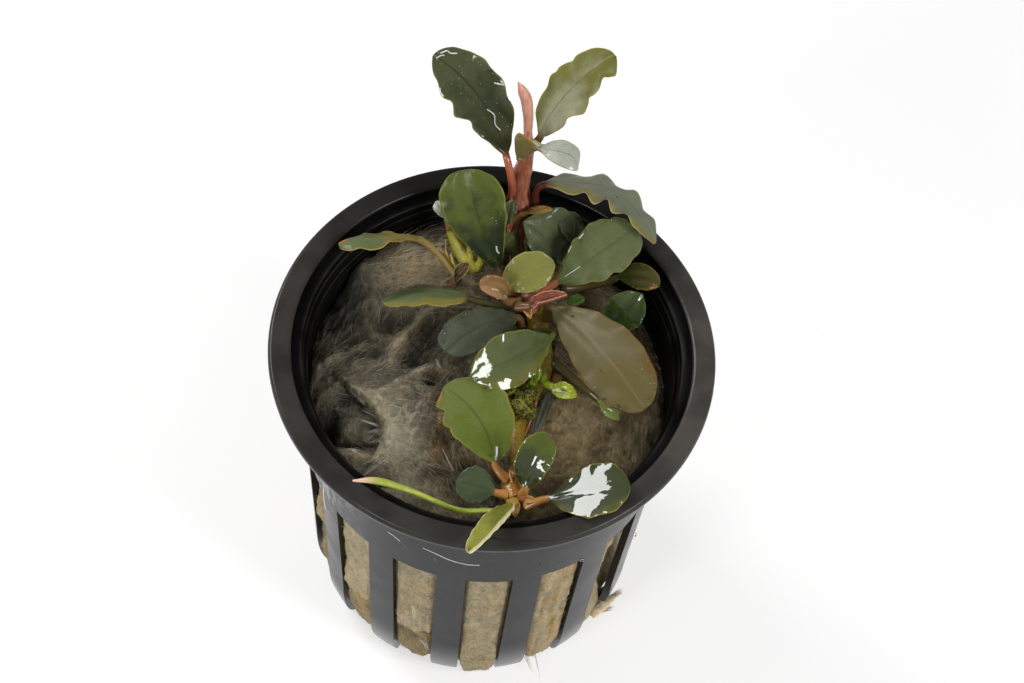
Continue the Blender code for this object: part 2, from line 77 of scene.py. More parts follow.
def add_node(tree, kind, inputs=(), **settings):
    """Add a node of any kind with its settings, and plug its sockets."""
    node = tree.nodes.new(kind)
    for key, value in settings.items():
        setattr(node, key, value)
    plug(tree, node, inputs)
    return node


def make_piece(name, points, faces, *finishes):
    """A smooth-shaded mesh object from points in millimetres."""
    mesh = bpy.data.meshes.new(name)
    mesh.from_pydata((np.asarray(points, float).reshape(-1, 3) * MM).tolist(), [], faces)
    mesh.shade_smooth()
    for finish in finishes:
        mesh.materials.append(finish)
    piece = bpy.data.objects.new(name, mesh)
    bpy.context.scene.collection.objects.link(piece)
    return piece


def store(piece, name, values, kind="FLOAT"):
    """Keep a number, or a vector, at each point of a piece, for its finish to read."""
    layer = piece.data.attributes.new(name, kind, "POINT")
    layer.data.foreach_set("value" if kind == "FLOAT" else "vector",
                           np.ravel(values).astype(np.float32))


def unit(vectors):
    """Vectors of length one, the same way."""
    return vectors / np.linalg.norm(vectors, axis=-1, keepdims=True)


def on_curve(start, control, end, t):
    """Points on a quadratic curve, and the directions there."""
    t = t[:, None]
    points = (1 - t) ** 2 * start + 2 * t * (1 - t) * control + t ** 2 * end
    return points, unit((1 - t) * (control - start) + t * (end - control))


def close_rings(name, grid, finish, tips=None):
    """A closed mesh from rows of rings, with a point at the middle of both ends."""
    rows, ring = grid.shape[:2]
    faces = [(row * ring + k, (row + 1) * ring + k, (row + 1) * ring + (k + 1) % ring,
              row * ring + (k + 1) % ring) for row in range(rows - 1) for k in range(ring)]
    start, end = rows * ring, rows * ring + 1
    faces += [(start, k, (k + 1) % ring) for k in range(ring)]
    faces += [(end, start - ring + (k + 1) % ring, start - ring + k) for k in range(ring)]
    if tips is None:
        tips = (grid[0].mean(0), grid[-1].mean(0))
    piece = make_piece(name, np.vstack([grid.reshape(-1, 3), tips]), faces, finish)
    bm = bmesh.new()
    bm.from_mesh(piece.data)
    bmesh.ops.recalc_face_normals(bm, faces=bm.faces)
    bm.to_mesh(piece.data)
    bm.free()
    return piece


def settle(piece, slot, *nodes):
    """Let a finished piece ride on the plant's one body, in place of the solids it stands for."""
    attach(piece, "root")
    if nodes:
        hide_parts(*nodes)
    return piece


def tri_count(piece):
    """How many triangles a piece has."""
    return sum(len(face.vertices) - 2 for face in piece.data.polygons)


print("#808080 in linear light:", round(colour("#808080")[0], 3))

# %% [markdown]
# The photograph looks steeply down on the pot through a long lens, and the camera is turned a
# little about its own line of sight. The camera is set first, so that every later cell can be
# judged from it.

# %% Camera
CAMERA_PLACE = (2.223, -182.61, 346.60)
CAMERA_AXES = ((0.99244, 0.10431, 0.06468), (-0.12274, 0.84346, 0.52298), (0.0, -0.52696, 0.84989))

camera_data = bpy.data.cameras.new("camera")
camera_data.lens = 100.0
camera_data.sensor_width = 36.0
camera_data.clip_start = 0.01
camera_data.clip_end = 10.0
camera = bpy.data.objects.new("camera", camera_data)
turned = Matrix(CAMERA_AXES).transposed().to_4x4()
turned.translation = Vector(CAMERA_PLACE) * MM
camera.matrix_world = turned
bpy.context.scene.collection.objects.link(camera)
bpy.context.scene.camera = camera
print("camera stands", round(camera.location.length * 1000), "mm from the pot's base")

# %% [markdown]
# The light is that of a white photo table: white all round, a broad soft box above the front for
# the shape, and two smaller boxes low at the sides, which wet leaves mirror as white patches.

# %% Table and soft light
WHITE = (1.0, 1.0, 1.0, 1.0)
TABLE_REACH = 900

scene = bpy.context.scene
scene.view_settings.view_transform = "Standard"
scene.view_settings.look = "None"

world = bpy.data.worlds.new("white_studio")
world.use_nodes = True
sky = world.node_tree
direction = add_node(sky, "ShaderNodeTexCoord").outputs["Generated"]
height = add_node(sky, "ShaderNodeSeparateXYZ", {0: direction}).outputs["Z"]
glow = add_node(sky, "ShaderNodeMapRange", {"Value": height, "From Min": 0.05, "From Max": 0.85,
                                            "To Min": 0.74, "To Max": 0.26})
plug(sky, sky.nodes["Background"], {"Color": WHITE, "Strength": glow.outputs[0]})
scene.world = world


def add_soft_box(name, place, aim, size, power):
    """A square soft box at a place in millimetres, turned towards another."""
    data = bpy.data.lights.new(name, "AREA")
    data.shape = "RECTANGLE"
    data.size, data.size_y = size[0] * MM, size[1] * MM
    data.energy = power
    box = bpy.data.objects.new(name, data)
    box.location = Vector(place) * MM
    box.rotation_euler = (Vector(place) - Vector(aim)).to_track_quat("Z", "Y").to_euler()
    scene.collection.objects.link(box)
    return box


add_soft_box("box_left", (-262, 165, 262), (0, -10, 50), (165, 135), 0.98)
add_soft_box("box_front", (-205, -270, 235), (0, 0, 50), (92, 80), 0.46)
add_soft_box("box_right", (235, -130, 245), (0, 0, 50), (105, 96), 0.66)

corners = [(x * TABLE_REACH, y * TABLE_REACH, 0) for x, y in ((-1, -1), (1, -1), (1, 1), (-1, 1))]
table = make_piece("table", corners, [(0, 1, 2, 3)])
table_finish = bpy.data.materials.new("white_laminate_table")
table_finish.use_nodes = True
plug(table_finish.node_tree, table_finish.node_tree.nodes["Principled BSDF"],
     {"Base Color": "#b0b0b0", "Roughness": 0.6, "Emission Color": WHITE,
      "Emission Strength": 0.54})
table.data.materials.append(table_finish)

# %% [markdown]
# Every finish starts the same way: a Principled shader, the piece's own coordinates in metres, and
# a scale that is worked out from a real size. A noise of scale 1000 / s has features about s mm
# wide. A few steps come back in all of them: a sum or a product, a run of values that is spread
# smoothly over another, a blend of two colours, and bump. One table lists these, and each is added
# by name.

# %% Start of every finish
# Each step: its node, the sockets that take its values in turn, its output, and its settings.
STEPS = {
    "blend": ("ShaderNodeMix", (0, 6, 7), 2, dict(data_type="RGBA")),
    "spread": ("ShaderNodeMapRange", ("Value", "From Min", "From Max", "To Min", "To Max"), 0,
               dict(interpolation_type="SMOOTHSTEP")),
    "bump": ("ShaderNodeBump", ("Height", "Distance"), 0, {}),
}
for sum_name in ("add", "subtract", "multiply", "maximum", "absolute", "sine"):
    STEPS[sum_name] = ("ShaderNodeMath", (0, 1), 0, dict(operation=sum_name.upper()))


def step(tree, name, *values):
    """Add a step and give its output. A sum or a product takes any number of values."""
    kind, sockets, output, settings = STEPS[name]
    result = add_node(tree, kind, zip(sockets, values), **settings).outputs[output]
    rest = values[len(sockets):]
    return step(tree, name, result, *rest) if rest else result


def new_finish(name, roughness, ior=1.45, coat=0.0, coat_roughness=0.05):
    """A new material with its tree, its shader and its coordinates."""
    finish = bpy.data.materials.new(name)
    finish.use_nodes = True
    tree = finish.node_tree
    shader = tree.nodes["Principled BSDF"]
    plug(tree, shader, {"Roughness": roughness, "IOR": ior, "Coat Weight": coat,
                        "Coat Roughness": coat_roughness})
    place = add_node(tree, "ShaderNodeTexCoord").outputs["Object"]
    return finish, tree, shader, place


def mottle(tree, place, size, detail=3.0, low=0.35, high=0.65, stretch=None):
    """Noise with features of a size in mm, spread to run from 0 to 1. stretch lengthens them."""
    if stretch:
        place = add_node(tree, "ShaderNodeMapping", {"Vector": place, "Scale": stretch}).outputs[0]
    cloud = add_node(tree, "ShaderNodeTexNoise",
                     {"Vector": place, "Scale": 1 / (size * MM), "Detail": detail})
    spread = add_node(tree, "ShaderNodeMapRange",
                      {"Value": cloud.outputs["Fac"], "From Min": low, "From Max": high})
    return spread.outputs["Result"]


print("steps of a finish:", ", ".join(STEPS))

# %% [markdown]
# The pot is polypropylene, injection moulded in a polished mould: black, with a satin skin that
# turns lighter where it mirrors the white table, and with dull streaks where water has dried. Its
# section is turned round the axis. The fifteen slots aren't cut with a Boolean, because the mesh
# can be woven with columns along the slots' edges from the start, which leaves clean faces for a
# narrow bevel.

# %% Pot sizes
WALL_TOP_RADIUS = 23.8
WALL_TOP_Z = 47.0
WALL_TAPER = math.radians(3.4)
# How far the foot is rounded in, and from what height down.
FOOT_ROUND = (2.6, 10.0)
WALL = 1.0
SLOTS = 15
SLOT_TOP_Z = 32.0
# The slots' width at the foot and at the top, and where they end under the floor.
SLOT_WIDTHS = (5.1, 5.9)
SLOT_INNER_RADIUS = 15.5
FIRST_SLOT = math.radians(7.8)
SECTOR = math.tau / SLOTS
SLOT_COLUMNS = 8
RIB_COLUMNS = 6
FLOOR_MIDDLE = 9.0
EDGE_BEVEL = 0.22


def wall_radius(z):
    """The pot wall's outer radius at a height."""
    width, height = FOOT_ROUND
    radius = WALL_TOP_RADIUS - (WALL_TOP_Z - max(z, height)) * math.tan(WALL_TAPER)
    drop = max(0.0, height - z) / height
    return radius - width * (1 - math.sqrt(max(0.0, 1 - drop ** 2)))


def slot_half_angle(radius, z):
    """Half the angle that a slot takes up at a radius and height."""
    low, high = SLOT_WIDTHS
    half = (low + (high - low) * min(z, SLOT_TOP_Z) / SLOT_TOP_Z) / 2
    return math.asin(half / radius)


print("the wall is", round(2 * wall_radius(0), 1), "mm wide at the foot and",
      round(2 * WALL_TOP_RADIUS, 1), "mm under the lip")

# %% Weave the pot
def pot_section():
    """The section's outer points and its inner ones."""
    foot = [FOOT_ROUND[1] * (1 - math.sin(math.radians(a))) for a in range(0, 91, 9)]
    floor = [(radius, 0.0) for radius in (SLOT_INNER_RADIUS, 16.6, 17.8)]
    rounded = [(wall_radius(z), z) for z in foot[::-1]]
    wall = [(wall_radius(z), z) for z in (13, 17, 21, 25, 29, 31, SLOT_TOP_Z)]
    outer = floor + rounded + wall
    inner = []
    for i, (radius, z) in enumerate(outer):
        r0, z0 = outer[max(i - 1, 0)]
        r1, z1 = outer[min(i + 1, len(outer) - 1)]
        length = math.hypot(r1 - r0, z1 - z0)
        inner.append((radius - WALL * (z1 - z0) / length, z + WALL * (r1 - r0) / length))
    return outer, inner


def add_pot(finish, inside_finish):
    """The pot as one closed mesh, with its slots left open between woven columns."""
    outer, inner = pot_section()
    collar = [(wall_radius(z), z) for z in (33, 36, 40, 44, 46.4)]
    lip = [(23.86, 47.2), (24.05, 47.9), (24.5, 48.3), (26.9, 48.35), (27.25, 48.5), (27.45, 48.8),
           (27.5, 49.2), (27.47, 49.6), (27.3, 49.9), (27.0, 50.0), (26.3, 49.93), (25.3, 49.93),
           (24.85, 49.86), (24.66, 49.6), (24.6, 49.2), (24.5, 48.9), (23.5, 48.75), (23.3, 48.5),
           (23.28, 47.7), (23.15, 47.5), (22.98, 47.3)]
    inside_collar = [(wall_radius(z) - WALL, z) for z in (46.6, 46.5, 44, 40, 36, 33)]
    inside_collar[1] = (inside_collar[1][0] - 0.12, 46.4)
    section = [(0.0, 0.0), (FLOOR_MIDDLE, 0.0)] + outer + collar + lip + inside_collar
    section += inner[::-1] + [(FLOOR_MIDDLE, WALL), (0.0, WALL)]
    first, last = 2, 1 + len(outer)
    inner_first, inner_last = len(section) - 2 - len(inner), len(section) - 3

    columns = SLOTS * (SLOT_COLUMNS + RIB_COLUMNS)
    points = []
    for radius, z in section[1:-1]:
        half = slot_half_angle(max(radius, SLOT_INNER_RADIUS), z)
        for slot in range(SLOTS):
            centre = FIRST_SLOT + slot * SECTOR
            turns = [centre - half + 2 * half * i / SLOT_COLUMNS for i in range(SLOT_COLUMNS)]
            rib = SECTOR - 2 * half
            turns += [centre + half + rib * i / RIB_COLUMNS for i in range(RIB_COLUMNS)]
            points += [(radius * math.sin(a), -radius * math.cos(a), z) for a in turns]
    bottom, top = len(points), len(points) + 1
    points += [(0.0, 0.0, 0.0), (0.0, 0.0, WALL)]

    faces = []
    rows = len(section) - 2
    for row in range(rows - 1):
        along_slot = first <= row + 1 < last or inner_first <= row + 1 < inner_last
        for column in range(columns):
            if along_slot and column % (SLOT_COLUMNS + RIB_COLUMNS) < SLOT_COLUMNS:
                continue
            after = (column + 1) % columns
            faces.append((row * columns + column, row * columns + after,
                          (row + 1) * columns + after, (row + 1) * columns + column))
    for column in range(columns):
        after = (column + 1) % columns
        faces.append((bottom, after, column))
        faces.append((top, (rows - 1) * columns + column, (rows - 1) * columns + after))
    for slot in range(SLOTS):
        left = slot * (SLOT_COLUMNS + RIB_COLUMNS)
        right = left + SLOT_COLUMNS
        pairs = [(first - 1 + i, inner_last - 1 - i) for i in range(len(outer))]
        for (out0, in0), (out1, in1) in zip(pairs, pairs[1:]):
            for side in (left, right):
                faces.append((out0 * columns + side, out1 * columns + side,
                              in1 * columns + side, in0 * columns + side))
        for out_row, in_row in (pairs[0], pairs[-1]):
            for column in range(left, right):
                faces.append((out_row * columns + column, out_row * columns + column + 1,
                              in_row * columns + column + 1, in_row * columns + column))
    pot = make_piece("pot_moulded", points, faces, finish, inside_finish)
    inner_from = 2 + len(outer) + len(collar) + 13
    for face in pot.data.polygons:
        low, high = min(face.vertices) // columns, max(face.vertices) // columns
        face.material_index = int(inner_from <= low + 1 and high - low == 1)
    bm = bmesh.new()
    bm.from_mesh(pot.data)
    bmesh.ops.recalc_face_normals(bm, faces=bm.faces)
    open_edges = sum(not edge.is_manifold for edge in bm.edges)
    bm.to_mesh(pot.data)
    bm.free()
    pot.data.shade_smooth()
    edge = pot.modifiers.new("moulded_edges", "BEVEL")
    edge.width = EDGE_BEVEL * MM
    edge.segments = 2
    edge.limit_method = "ANGLE"
    edge.angle_limit = math.radians(50)
    edge.harden_normals = True
    print("pot faces:", len(faces), "open edges:", open_edges)
    return settle(pot, "pot_plastic", "pot")


# %% Pot finish, black polypropylene
def pot_finish():
    """Satin black plastic with faint mould texture, dried water streaks and fine scuffs, and
    painted reflection round the foot and on the lip.
    """
    finish, tree, shader, place = new_finish("moulded_polypropylene_black", 0.2, ior=1.35)
    skin = mottle(tree, place, 6.0)
    scuff = mottle(tree, place, 1.2, 6.0, 0.55, 0.75, (1, 1, 0.25))
    grain = mottle(tree, place, 0.12, 1.0)
    # A film of dried water lies at the front left, from the slots' upper half up to the lip.
    x, y, z = add_node(tree, "ShaderNodeSeparateXYZ", {0: place}).outputs
    left = step(tree, "spread", x, -12 * MM, -21 * MM)
    front = step(tree, "spread", y, -1 * MM, -10 * MM)
    high = step(tree, "spread", z, 24 * MM, 36 * MM)
    below_lip = step(tree, "spread", z, 47.5 * MM, 45 * MM)
    streaks = mottle(tree, place, 1.3, 6.0, 0.40, 0.60, (1, 1, 0.4))
    patches = mottle(tree, place, 5.0, 2.0, 0.3, 0.55)
    film = step(tree, "multiply", left, front, high, below_lip, streaks, patches)
    tone = step(tree, "blend", skin, "#0e0e10", "#151518")
    tone = step(tree, "blend", step(tree, "multiply", scuff, 0.35), tone, "#3c3c40")
    tone = step(tree, "blend", film, tone, "#b0b2b4")
    # Round the foot the plastic is painted grey, as painted reflection of the white table.
    foot_reflection = step(tree, "spread", z, 12 * MM, 1 * MM, 0.0, 0.85)
    tone = step(tree, "blend", foot_reflection, tone, "#7c7c7e")
    # The lip's flat top is painted lighter and a little brown. Part of this is a dull film of dried
    # water, and part is painted reflection, darker at the back and lighter at the right.
    on_lip = step(tree, "spread", z, 49.2 * MM, 49.8 * MM)
    behind = step(tree, "spread", y, 6 * MM, 27 * MM)
    right = step(tree, "spread", x, 12 * MM, 27 * MM)
    lip_film_and_reflection = step(tree, "blend", behind, "#35332f", "#191715")
    lip_film_and_reflection = step(tree, "blend", right, lip_film_and_reflection, "#46443f")
    uneven = step(tree, "spread", skin, 0.0, 1.0, 0.6, 1.0)
    tone = step(tree, "blend", step(tree, "multiply", on_lip, uneven), tone, lip_film_and_reflection)
    rough = step(tree, "spread", skin, 0.0, 1.0, 0.16, 0.26)
    rough = step(tree, "add", rough, step(tree, "multiply", film, 0.15))
    relief = step(tree, "add", step(tree, "multiply", skin, 4.0), grain)
    plug(tree, shader, {"Base Color": tone, "Roughness": rough, "Specular IOR Level": 0.22,
                        "Normal": step(tree, "bump", relief, 0.004 * MM)})
    return finish


# From the crest of one ledge under the lip to the next.
LEDGE_PITCH = 1.1


def pot_inside_painted_shade_finish():
    """The same plastic on the inner wall, wet and in the shade, painted almost black as painted
    shade.
    """
    finish, tree, shader, place = new_finish("moulded_polypropylene_inside_painted_shade", 0.5, ior=1.33)
    skin = mottle(tree, place, 4.0, 3.0, 0.35, 0.65, (1, 1, 0.3))
    # Under the lip the core of the mould left four fine ledges, and their crests are painted
    # lighter, as painted highlight.
    height = add_node(tree, "ShaderNodeSeparateXYZ", {0: place}).outputs["Z"]
    wave = step(tree, "sine", step(tree, "multiply", height, math.tau / (LEDGE_PITCH * MM)))
    crest = step(tree, "spread", wave, 0.75, 1.0)
    under_lip = step(tree, "spread", height, 42.5 * MM, 43.5 * MM)
    uneven = step(tree, "spread", skin, 0.0, 1.0, 0.2, 0.9)
    tone = step(tree, "blend", skin, "#050505", "#0b0b0b")
    tone = step(tree, "blend", step(tree, "multiply", crest, under_lip, uneven), tone, "#2c2a28")
    rough = step(tree, "spread", skin, 0.0, 1.0, 0.35, 0.55)
    plug(tree, shader, {"Base Color": tone, "Roughness": rough, "Specular IOR Level": 0.09,
                        "Normal": step(tree, "bump", skin, 0.01 * MM)})
    return finish


pot = add_pot(pot_finish(), pot_inside_painted_shade_finish())

# %% [markdown]
# Rock wool is spun stone fibre, pressed to a felt and split so that the rhizome can be laid in. A
# single fibre is far thinner than a pixel, so the felt is drawn in coarser steps: a dense mesh with
# lumps, wells and torn flaps, a finish with fine noise, and thousands of loose strands that lie the
# way the felt was pulled. One table says where the felt is high, pale or brown, and another says
# which way it is combed, so that the mesh, its finish and its strands agree.

# %% Where the felt is high, pale or brown
RHIZOME = [(4.5, -11.4, 41.9), (4.2, -6.6, 41.0), (5.1, -1.5, 40.5), (6.5, 3.4, 40.9),
           (5.2, 9.0, 42.4), (3.1, 13.5, 43.4), (1.6, 16.8, 44.2)]
# Each patch: x, y, its size along both, its rise, and how much paler and browner it is. Where a
# patch sinks into a well it is also darker, as painted shade.
PATCHES = [
    (-10.0, 13.6, 6.0, 3.2, 1.2, 0.15, 0.25), (-13.4, 17.6, 6.5, 2.2, 0.7, -0.12, -0.1),
    (-20.0, 8.0, 3.4, 6.0, -0.3, -0.26, -0.3), (-18.4, 12.4, 2.6, 3.2, 1.7, -0.12, -0.2),
    (-16.4, 3.8, 3.6, 3.4, -0.3, -0.16, 0.15), (-12.9, 6.4, 2.3, 1.8, -1.0, -0.26, 0.0),
    (-8.0, 6.0, 1.7, 2.4, -1.1, -0.26, 0.0), (-9.4, 2.2, 1.2, 1.6, -0.7, -0.22, 0.0),
    (-14.5, 1.6, 3.6, 0.9, -0.9, -0.26, 0.0), (-13.0, -0.8, 3.4, 1.4, 0.4, -0.02, -0.2),
    (-17.4, -6.4, 2.8, 3.8, -0.6, -0.06, -0.35), (-9.6, -9.0, 3.8, 5.4, 0.9, 0.30, -0.28),
    (-7.4, -16.0, 3.4, 2.8, 0.4, 0.18, -0.05), (-4.9, -8.4, 1.5, 4.0, 0.1, -0.10, 0.8),
    (-1.0, -12.8, 2.3, 4.2, -0.6, -0.24, 0.5), (-7.2, -1.1, 0.6, 0.6, -1.1, -0.55, 0.3),
    (-2.6, -1.2, 3.0, 3.6, -0.9, -0.25, 0.1), (-16.2, -10.8, 2.1, 0.6, -1.8, -0.6, 0.0),
    (-13.2, -15.2, 3.0, 0.7, -1.8, -0.6, 0.0), (-19.6, -9.6, 1.7, 3.4, -2.6, -0.6, 0.1),
    (-5.0, -19.6, 5.0, 1.0, -0.3, -0.12, 0.2), (13.5, -6.0, 7.0, 5.8, 0.6, 0.58, 0.0),
    (21.0, -4.0, 3.4, 7.0, -0.1, 0.24, -0.2), (12.5, 8.5, 9.0, 5.5, -0.5, -0.26, -0.1),
    (12.0, -17.5, 6.0, 2.4, -0.2, -0.14, 0.2),
]
# Each seam: its line, its half width, how much it rises and how much paler it is.
SEAMS = [
    ([(-7.6, 10.4), (-8.6, 8.4), (-9.7, 6.4), (-10.9, 4.5), (-12.2, 2.7), (-12.6, 0.9)],
     0.6, 0.8, 0.34),
    ([(-21.7, -0.9), (-18.9, 0.8), (-16.0, 2.6)], 0.4, 0.4, 0.20),
    ([(-18.4, -11.7), (-15.0, -12.4), (-11.5, -12.6)], 0.6, 1.2, 0.42),
    ([(-8.6, -0.2), (-7.0, 0.6), (-5.0, 0.4)], 0.35, 0.5, 0.3),
]
TOP_EDGE = [(-16.6, -3.3), (-15.0, -3.7), (-13.2, -3.1), (-11.8, -2.0), (-10.4, -0.8), (-8.2, 0.7)]
TORN_EDGE = [(-16.5, -3.9), (-14.4, -5.5), (-12.9, -7.3), (-12.0, -8.5), (-12.4, -10.4)]
# Each comb: x, y, its reach, and the way the fibres lie there, in degrees from +X towards +Y.
COMBS = [(-10.5, 14.0, 4.5, 5), (-15.0, 17.0, 4.0, 50), (-19.5, 8.0, 4.0, -100),
         (-11.0, 5.0, 3.0, -125), (-16.0, 0.5, 3.0, 30), (-17.0, -7.0, 3.5, -8),
         (-11.0, -6.0, 3.0, -15), (-9.5, -11.0, 3.5, -8), (-7.0, -16.0, 3.0, -40),
         (-4.8, -8.5, 2.0, -88), (-1.2, -13.0, 2.5, -60), (9.0, -4.0, 4.0, -38),
         (14.5, -7.0, 4.0, -30), (19.0, -10.0, 4.0, -48), (20.5, 0.0, 4.0, -95),
         (12.0, -16.0, 4.0, -35), (12.0, 8.0, 5.0, -30)]


def hump(x, y, centre, size):
    """1 at a centre, and falling off over a size along x and along y."""
    return np.exp(-((x - centre[0]) / size[0]) ** 2 - ((y - centre[1]) / size[1]) ** 2)


def rises(value, middle, width):
    """0 well below a middle and 1 well above it."""
    return 1 / (1 + np.exp(-(value - middle) / width))


def from_line(x, y, line):
    """The distance of places from a line of points, with a minus sign on its left side."""
    nearest, side = np.full(np.shape(x), 1e6), np.ones(np.shape(x))
    for (x0, y0), (x1, y1) in zip(line, line[1:]):
        dx, dy = x1 - x0, y1 - y0
        share = np.clip(((x - x0) * dx + (y - y0) * dy) / (dx * dx + dy * dy), 0, 1)
        gap = np.hypot(x - x0 - share * dx, y - y0 - share * dy)
        side = np.where(gap < nearest, np.where((x - x0) * dy > (y - y0) * dx, 1, -1), side)
        nearest = np.minimum(gap, nearest)
    return nearest * side


def felt_noise(x, y, z):
    """Blender's noise at many places, about -1 to 1, with features one unit wide."""
    return np.array([noise.noise(Vector(place)) for place in zip(x, y, z)])


def combed(x, y):
    """The way that the fibres lie at places, and the streaks that they draw there."""
    headings, streaks, whole = np.zeros((len(x), 2)), np.zeros(len(x)), np.full(len(x), 1e-9)
    for i, (cx, cy, size, heading) in enumerate(COMBS):
        c, s = math.cos(math.radians(heading)), math.sin(math.radians(heading))
        share = hump(x, y, (cx, cy), (size, size)) + 1e-7
        headings += share[:, None] * np.array((c, s))
        near = share > 0.01
        along, over = (x * c + y * s)[near], (y * c - x * s)[near]
        streaks[near] += share[near] * felt_noise(0.5 * along, 4.2 * over,
                                                  np.full(near.sum(), 9.0 * i))
        whole += share
    return headings / np.linalg.norm(headings, axis=1)[:, None], streaks / whole


print("felt patches:", len(PATCHES), "seams:", len(SEAMS), "combs:", len(COMBS))

# %% The wool's top surface
def rhizome_at(y):
    """Where the rhizome's axis crosses places along the pot: x and z."""
    path = np.array(RHIZOME)
    return np.interp(y, path[:, 1], path[:, 0]), np.interp(y, path[:, 1], path[:, 2])


def wool_top(x, y):
    """Height, paleness and brownness of the wool at places, with its two lobes and the slit.
    Paleness is partly the felt's own tone and partly painted light and shade: paler where the felt
    rises, darker in the rhizome's bed, in wells and dips and below the torn flap.
    """
    x, y = np.atleast_1d(np.asarray(x, float)), np.atleast_1d(np.asarray(y, float))
    right = rises(x, 3.0, 1.6)
    height = 42.6 + 0.16 * y - 3.2 * right
    pale, brown = 0.40 + 0.12 * right, 0.40 + 0.3 * right
    centre, axis_z = rhizome_at(y)
    bed = np.maximum(0.0, height - (axis_z - 1.9)) * np.exp(-((x - centre) / 2.6) ** 2)
    height = height - bed
    # The bed under the rhizome is painted darker, as painted shade.
    pale = pale - 0.18 * np.exp(-((x - centre) / 2.4) ** 2)
    for cx, cy, sx, sy, rise, paler, browner in PATCHES:
        share = hump(x, y, (cx, cy), (sx, sy))
        height, pale, brown = height + rise * share, pale + paler * share, brown + browner * share
    for line, width, rise, paler in SEAMS:
        share = np.exp(-(from_line(x, y, line) / width) ** 2)
        height, pale = height + rise * share, pale + paler * share
    ragged = from_line(x, y, TORN_EDGE) + 0.25 * felt_noise(x * 2.1, y * 2.1, x * 0)
    flap = rises(-ragged, 0.0, 0.10) * np.exp(-(ragged / 3.2) ** 2)
    below = rises(ragged, 0.0, 0.10) * np.exp(-(ragged / 1.6) ** 2)
    height = height + 1.1 * flap - 0.7 * below
    # Just below the flap's torn edge the felt is painted darker, as painted shade.
    pale = pale + 0.16 * flap - 0.2 * below + 0.3 * np.exp(-((ragged + 0.3) / 0.35) ** 2)
    upper = from_line(x, y, TOP_EDGE) + 0.2 * felt_noise(x * 2.3, y * 2.3, x * 0 + 3)
    above = rises(-upper, 0.0, 0.12) * np.exp(-(upper / 2.6) ** 2)
    height = height - 0.45 * above
    pale = pale - 0.16 * above + 0.12 * np.exp(-((upper - 0.25) / 0.3) ** 2)
    lumps, dips = felt_noise(x * 0.42, y * 0.42, x * 0), felt_noise(x * 1.1, y * 1.1, x * 0 + 7)
    # Where the felt rises it is painted paler, and where it sinks darker, as painted light and
    # shade.
    height = height + 0.5 * lumps + 0.26 * dips
    pale = pale + 0.10 * lumps + 0.09 * dips
    pale = 0.37 + 1.45 * (pale - 0.38)
    return height, np.clip(pale, 0.03, 1.0), np.clip(brown, 0.0, 1.0)


for side, spot in (("left", (-10, 10)), ("right", (13, -6))):
    print("height of the wool at the", side, round(float(wool_top(*spot)[0][0]), 1), "mm")

# %% Weave the wool plug
WOOL_COLUMNS = 420
WOOL_TOP_RINGS = 125
WOOL_SIDE_RINGS = 90
WOOL_REACH = 22.4
# In three of the slots the felt steps out at a height, as it does where a layer has slipped.
SLOT_STEPS = {12: 15.5, 13: 12.8, 14: 12.4}
WOOL_FOOT_Z = 1.3
# Two places where the felt falls short of the wall: angle and height, and its reach in both.
WALL_GAPS = [((math.radians(66), 19.0), (math.radians(9), 10.0)),
             ((math.radians(299), 24.0), (math.radians(6), 8.0))]


def wool_side(turns, share, edge):
    """One ring of the wool's side, pressed out through the slots, with its finish marks."""
    z = edge + (WOOL_FOOT_Z - edge) * share ** 0.9
    slot = np.round((turns - FIRST_SLOT) / SECTOR)
    wall = np.array([wall_radius(height) for height in z])
    away = np.abs(turns - FIRST_SLOT - slot * SECTOR) * wall
    slot = slot % SLOTS
    in_slot = rises(-away, -2.42 - 0.011 * z + 1.9 * np.exp(-(z / 2.9) ** 2), 0.13)
    in_slot = in_slot * rises(-z, 0.6 - SLOT_TOP_Z, 0.22)
    lump = felt_noise(turns * 9, z * 0.35, slot * 3.1)
    cloud = felt_noise(turns * 21, z * 0.5, slot * 3.1 + 4)
    bulge = 0.72 + 0.30 * lump + 0.18 * cloud
    pale, brown = 0.88 + 0.26 * cloud + 0.18 * lump, 0.50 + 0.3 * lump
    for which, height in SLOT_STEPS.items():
        ragged = z - height - 2.2 * (turns - FIRST_SLOT - which * SECTOR) + 0.5 * lump
        shelf = 0.55 * rises(ragged, 0, 0.12) * np.exp(-(ragged / 5) ** 2)
        bulge = bulge + np.where(slot == which, shelf - 0.15, 0.0)
        # Below each step the felt is painted darker, with a dark line under the step's edge, as
        # painted shade, and it is also browner there.
        pale = pale - np.where(slot == which, 0.30 * rises(-ragged, 0, 0.15)
                               + 0.35 * np.exp(-((ragged + 0.35) / 0.35) ** 2), 0.0)
        brown = brown + np.where(slot == which, 0.25 * rises(-ragged, 0, 0.15), 0.0)
    front = slot == 0
    bulge = bulge + np.where(front, 1.0 * np.exp(-((z - 4.0) / 3.5) ** 2), 0.0)
    pale = pale - np.where(front, 0.10 + 0.15 * lump, 0.0) + np.where(slot == 13, 0.15, 0.0)
    streak = np.clip(2.5 * felt_noise(turns * 40, z * 0.12, turns * 0), 0, 1)
    brown = brown + np.where(slot == 1, 0.6 * streak, 0.0)
    pale = pale - np.where(slot == 1, 0.18 * streak, 0.0)
    gap = sum(hump(turns, z, *place) for place in WALL_GAPS)
    radius = wall - WALL - 0.12 + in_slot * bulge - 4.5 * gap
    radius = np.where(z < 1.6, radius - 0.6, radius)
    # Above the slots the felt lies behind the wall, and is painted dark there, as painted shade.
    inside = rises(z, SLOT_TOP_Z + 1.0, 0.5)
    pale, brown = pale * (1 - inside) + 0.2 * inside, brown * (1 - inside) + 0.4 * inside
    bare_top = rises(-z, 1.9 - SLOT_TOP_Z, 0.3)
    return radius, z, pale, brown, bare_top * in_slot * in_slot * (1 - np.clip(2 * gap, 0, 1))


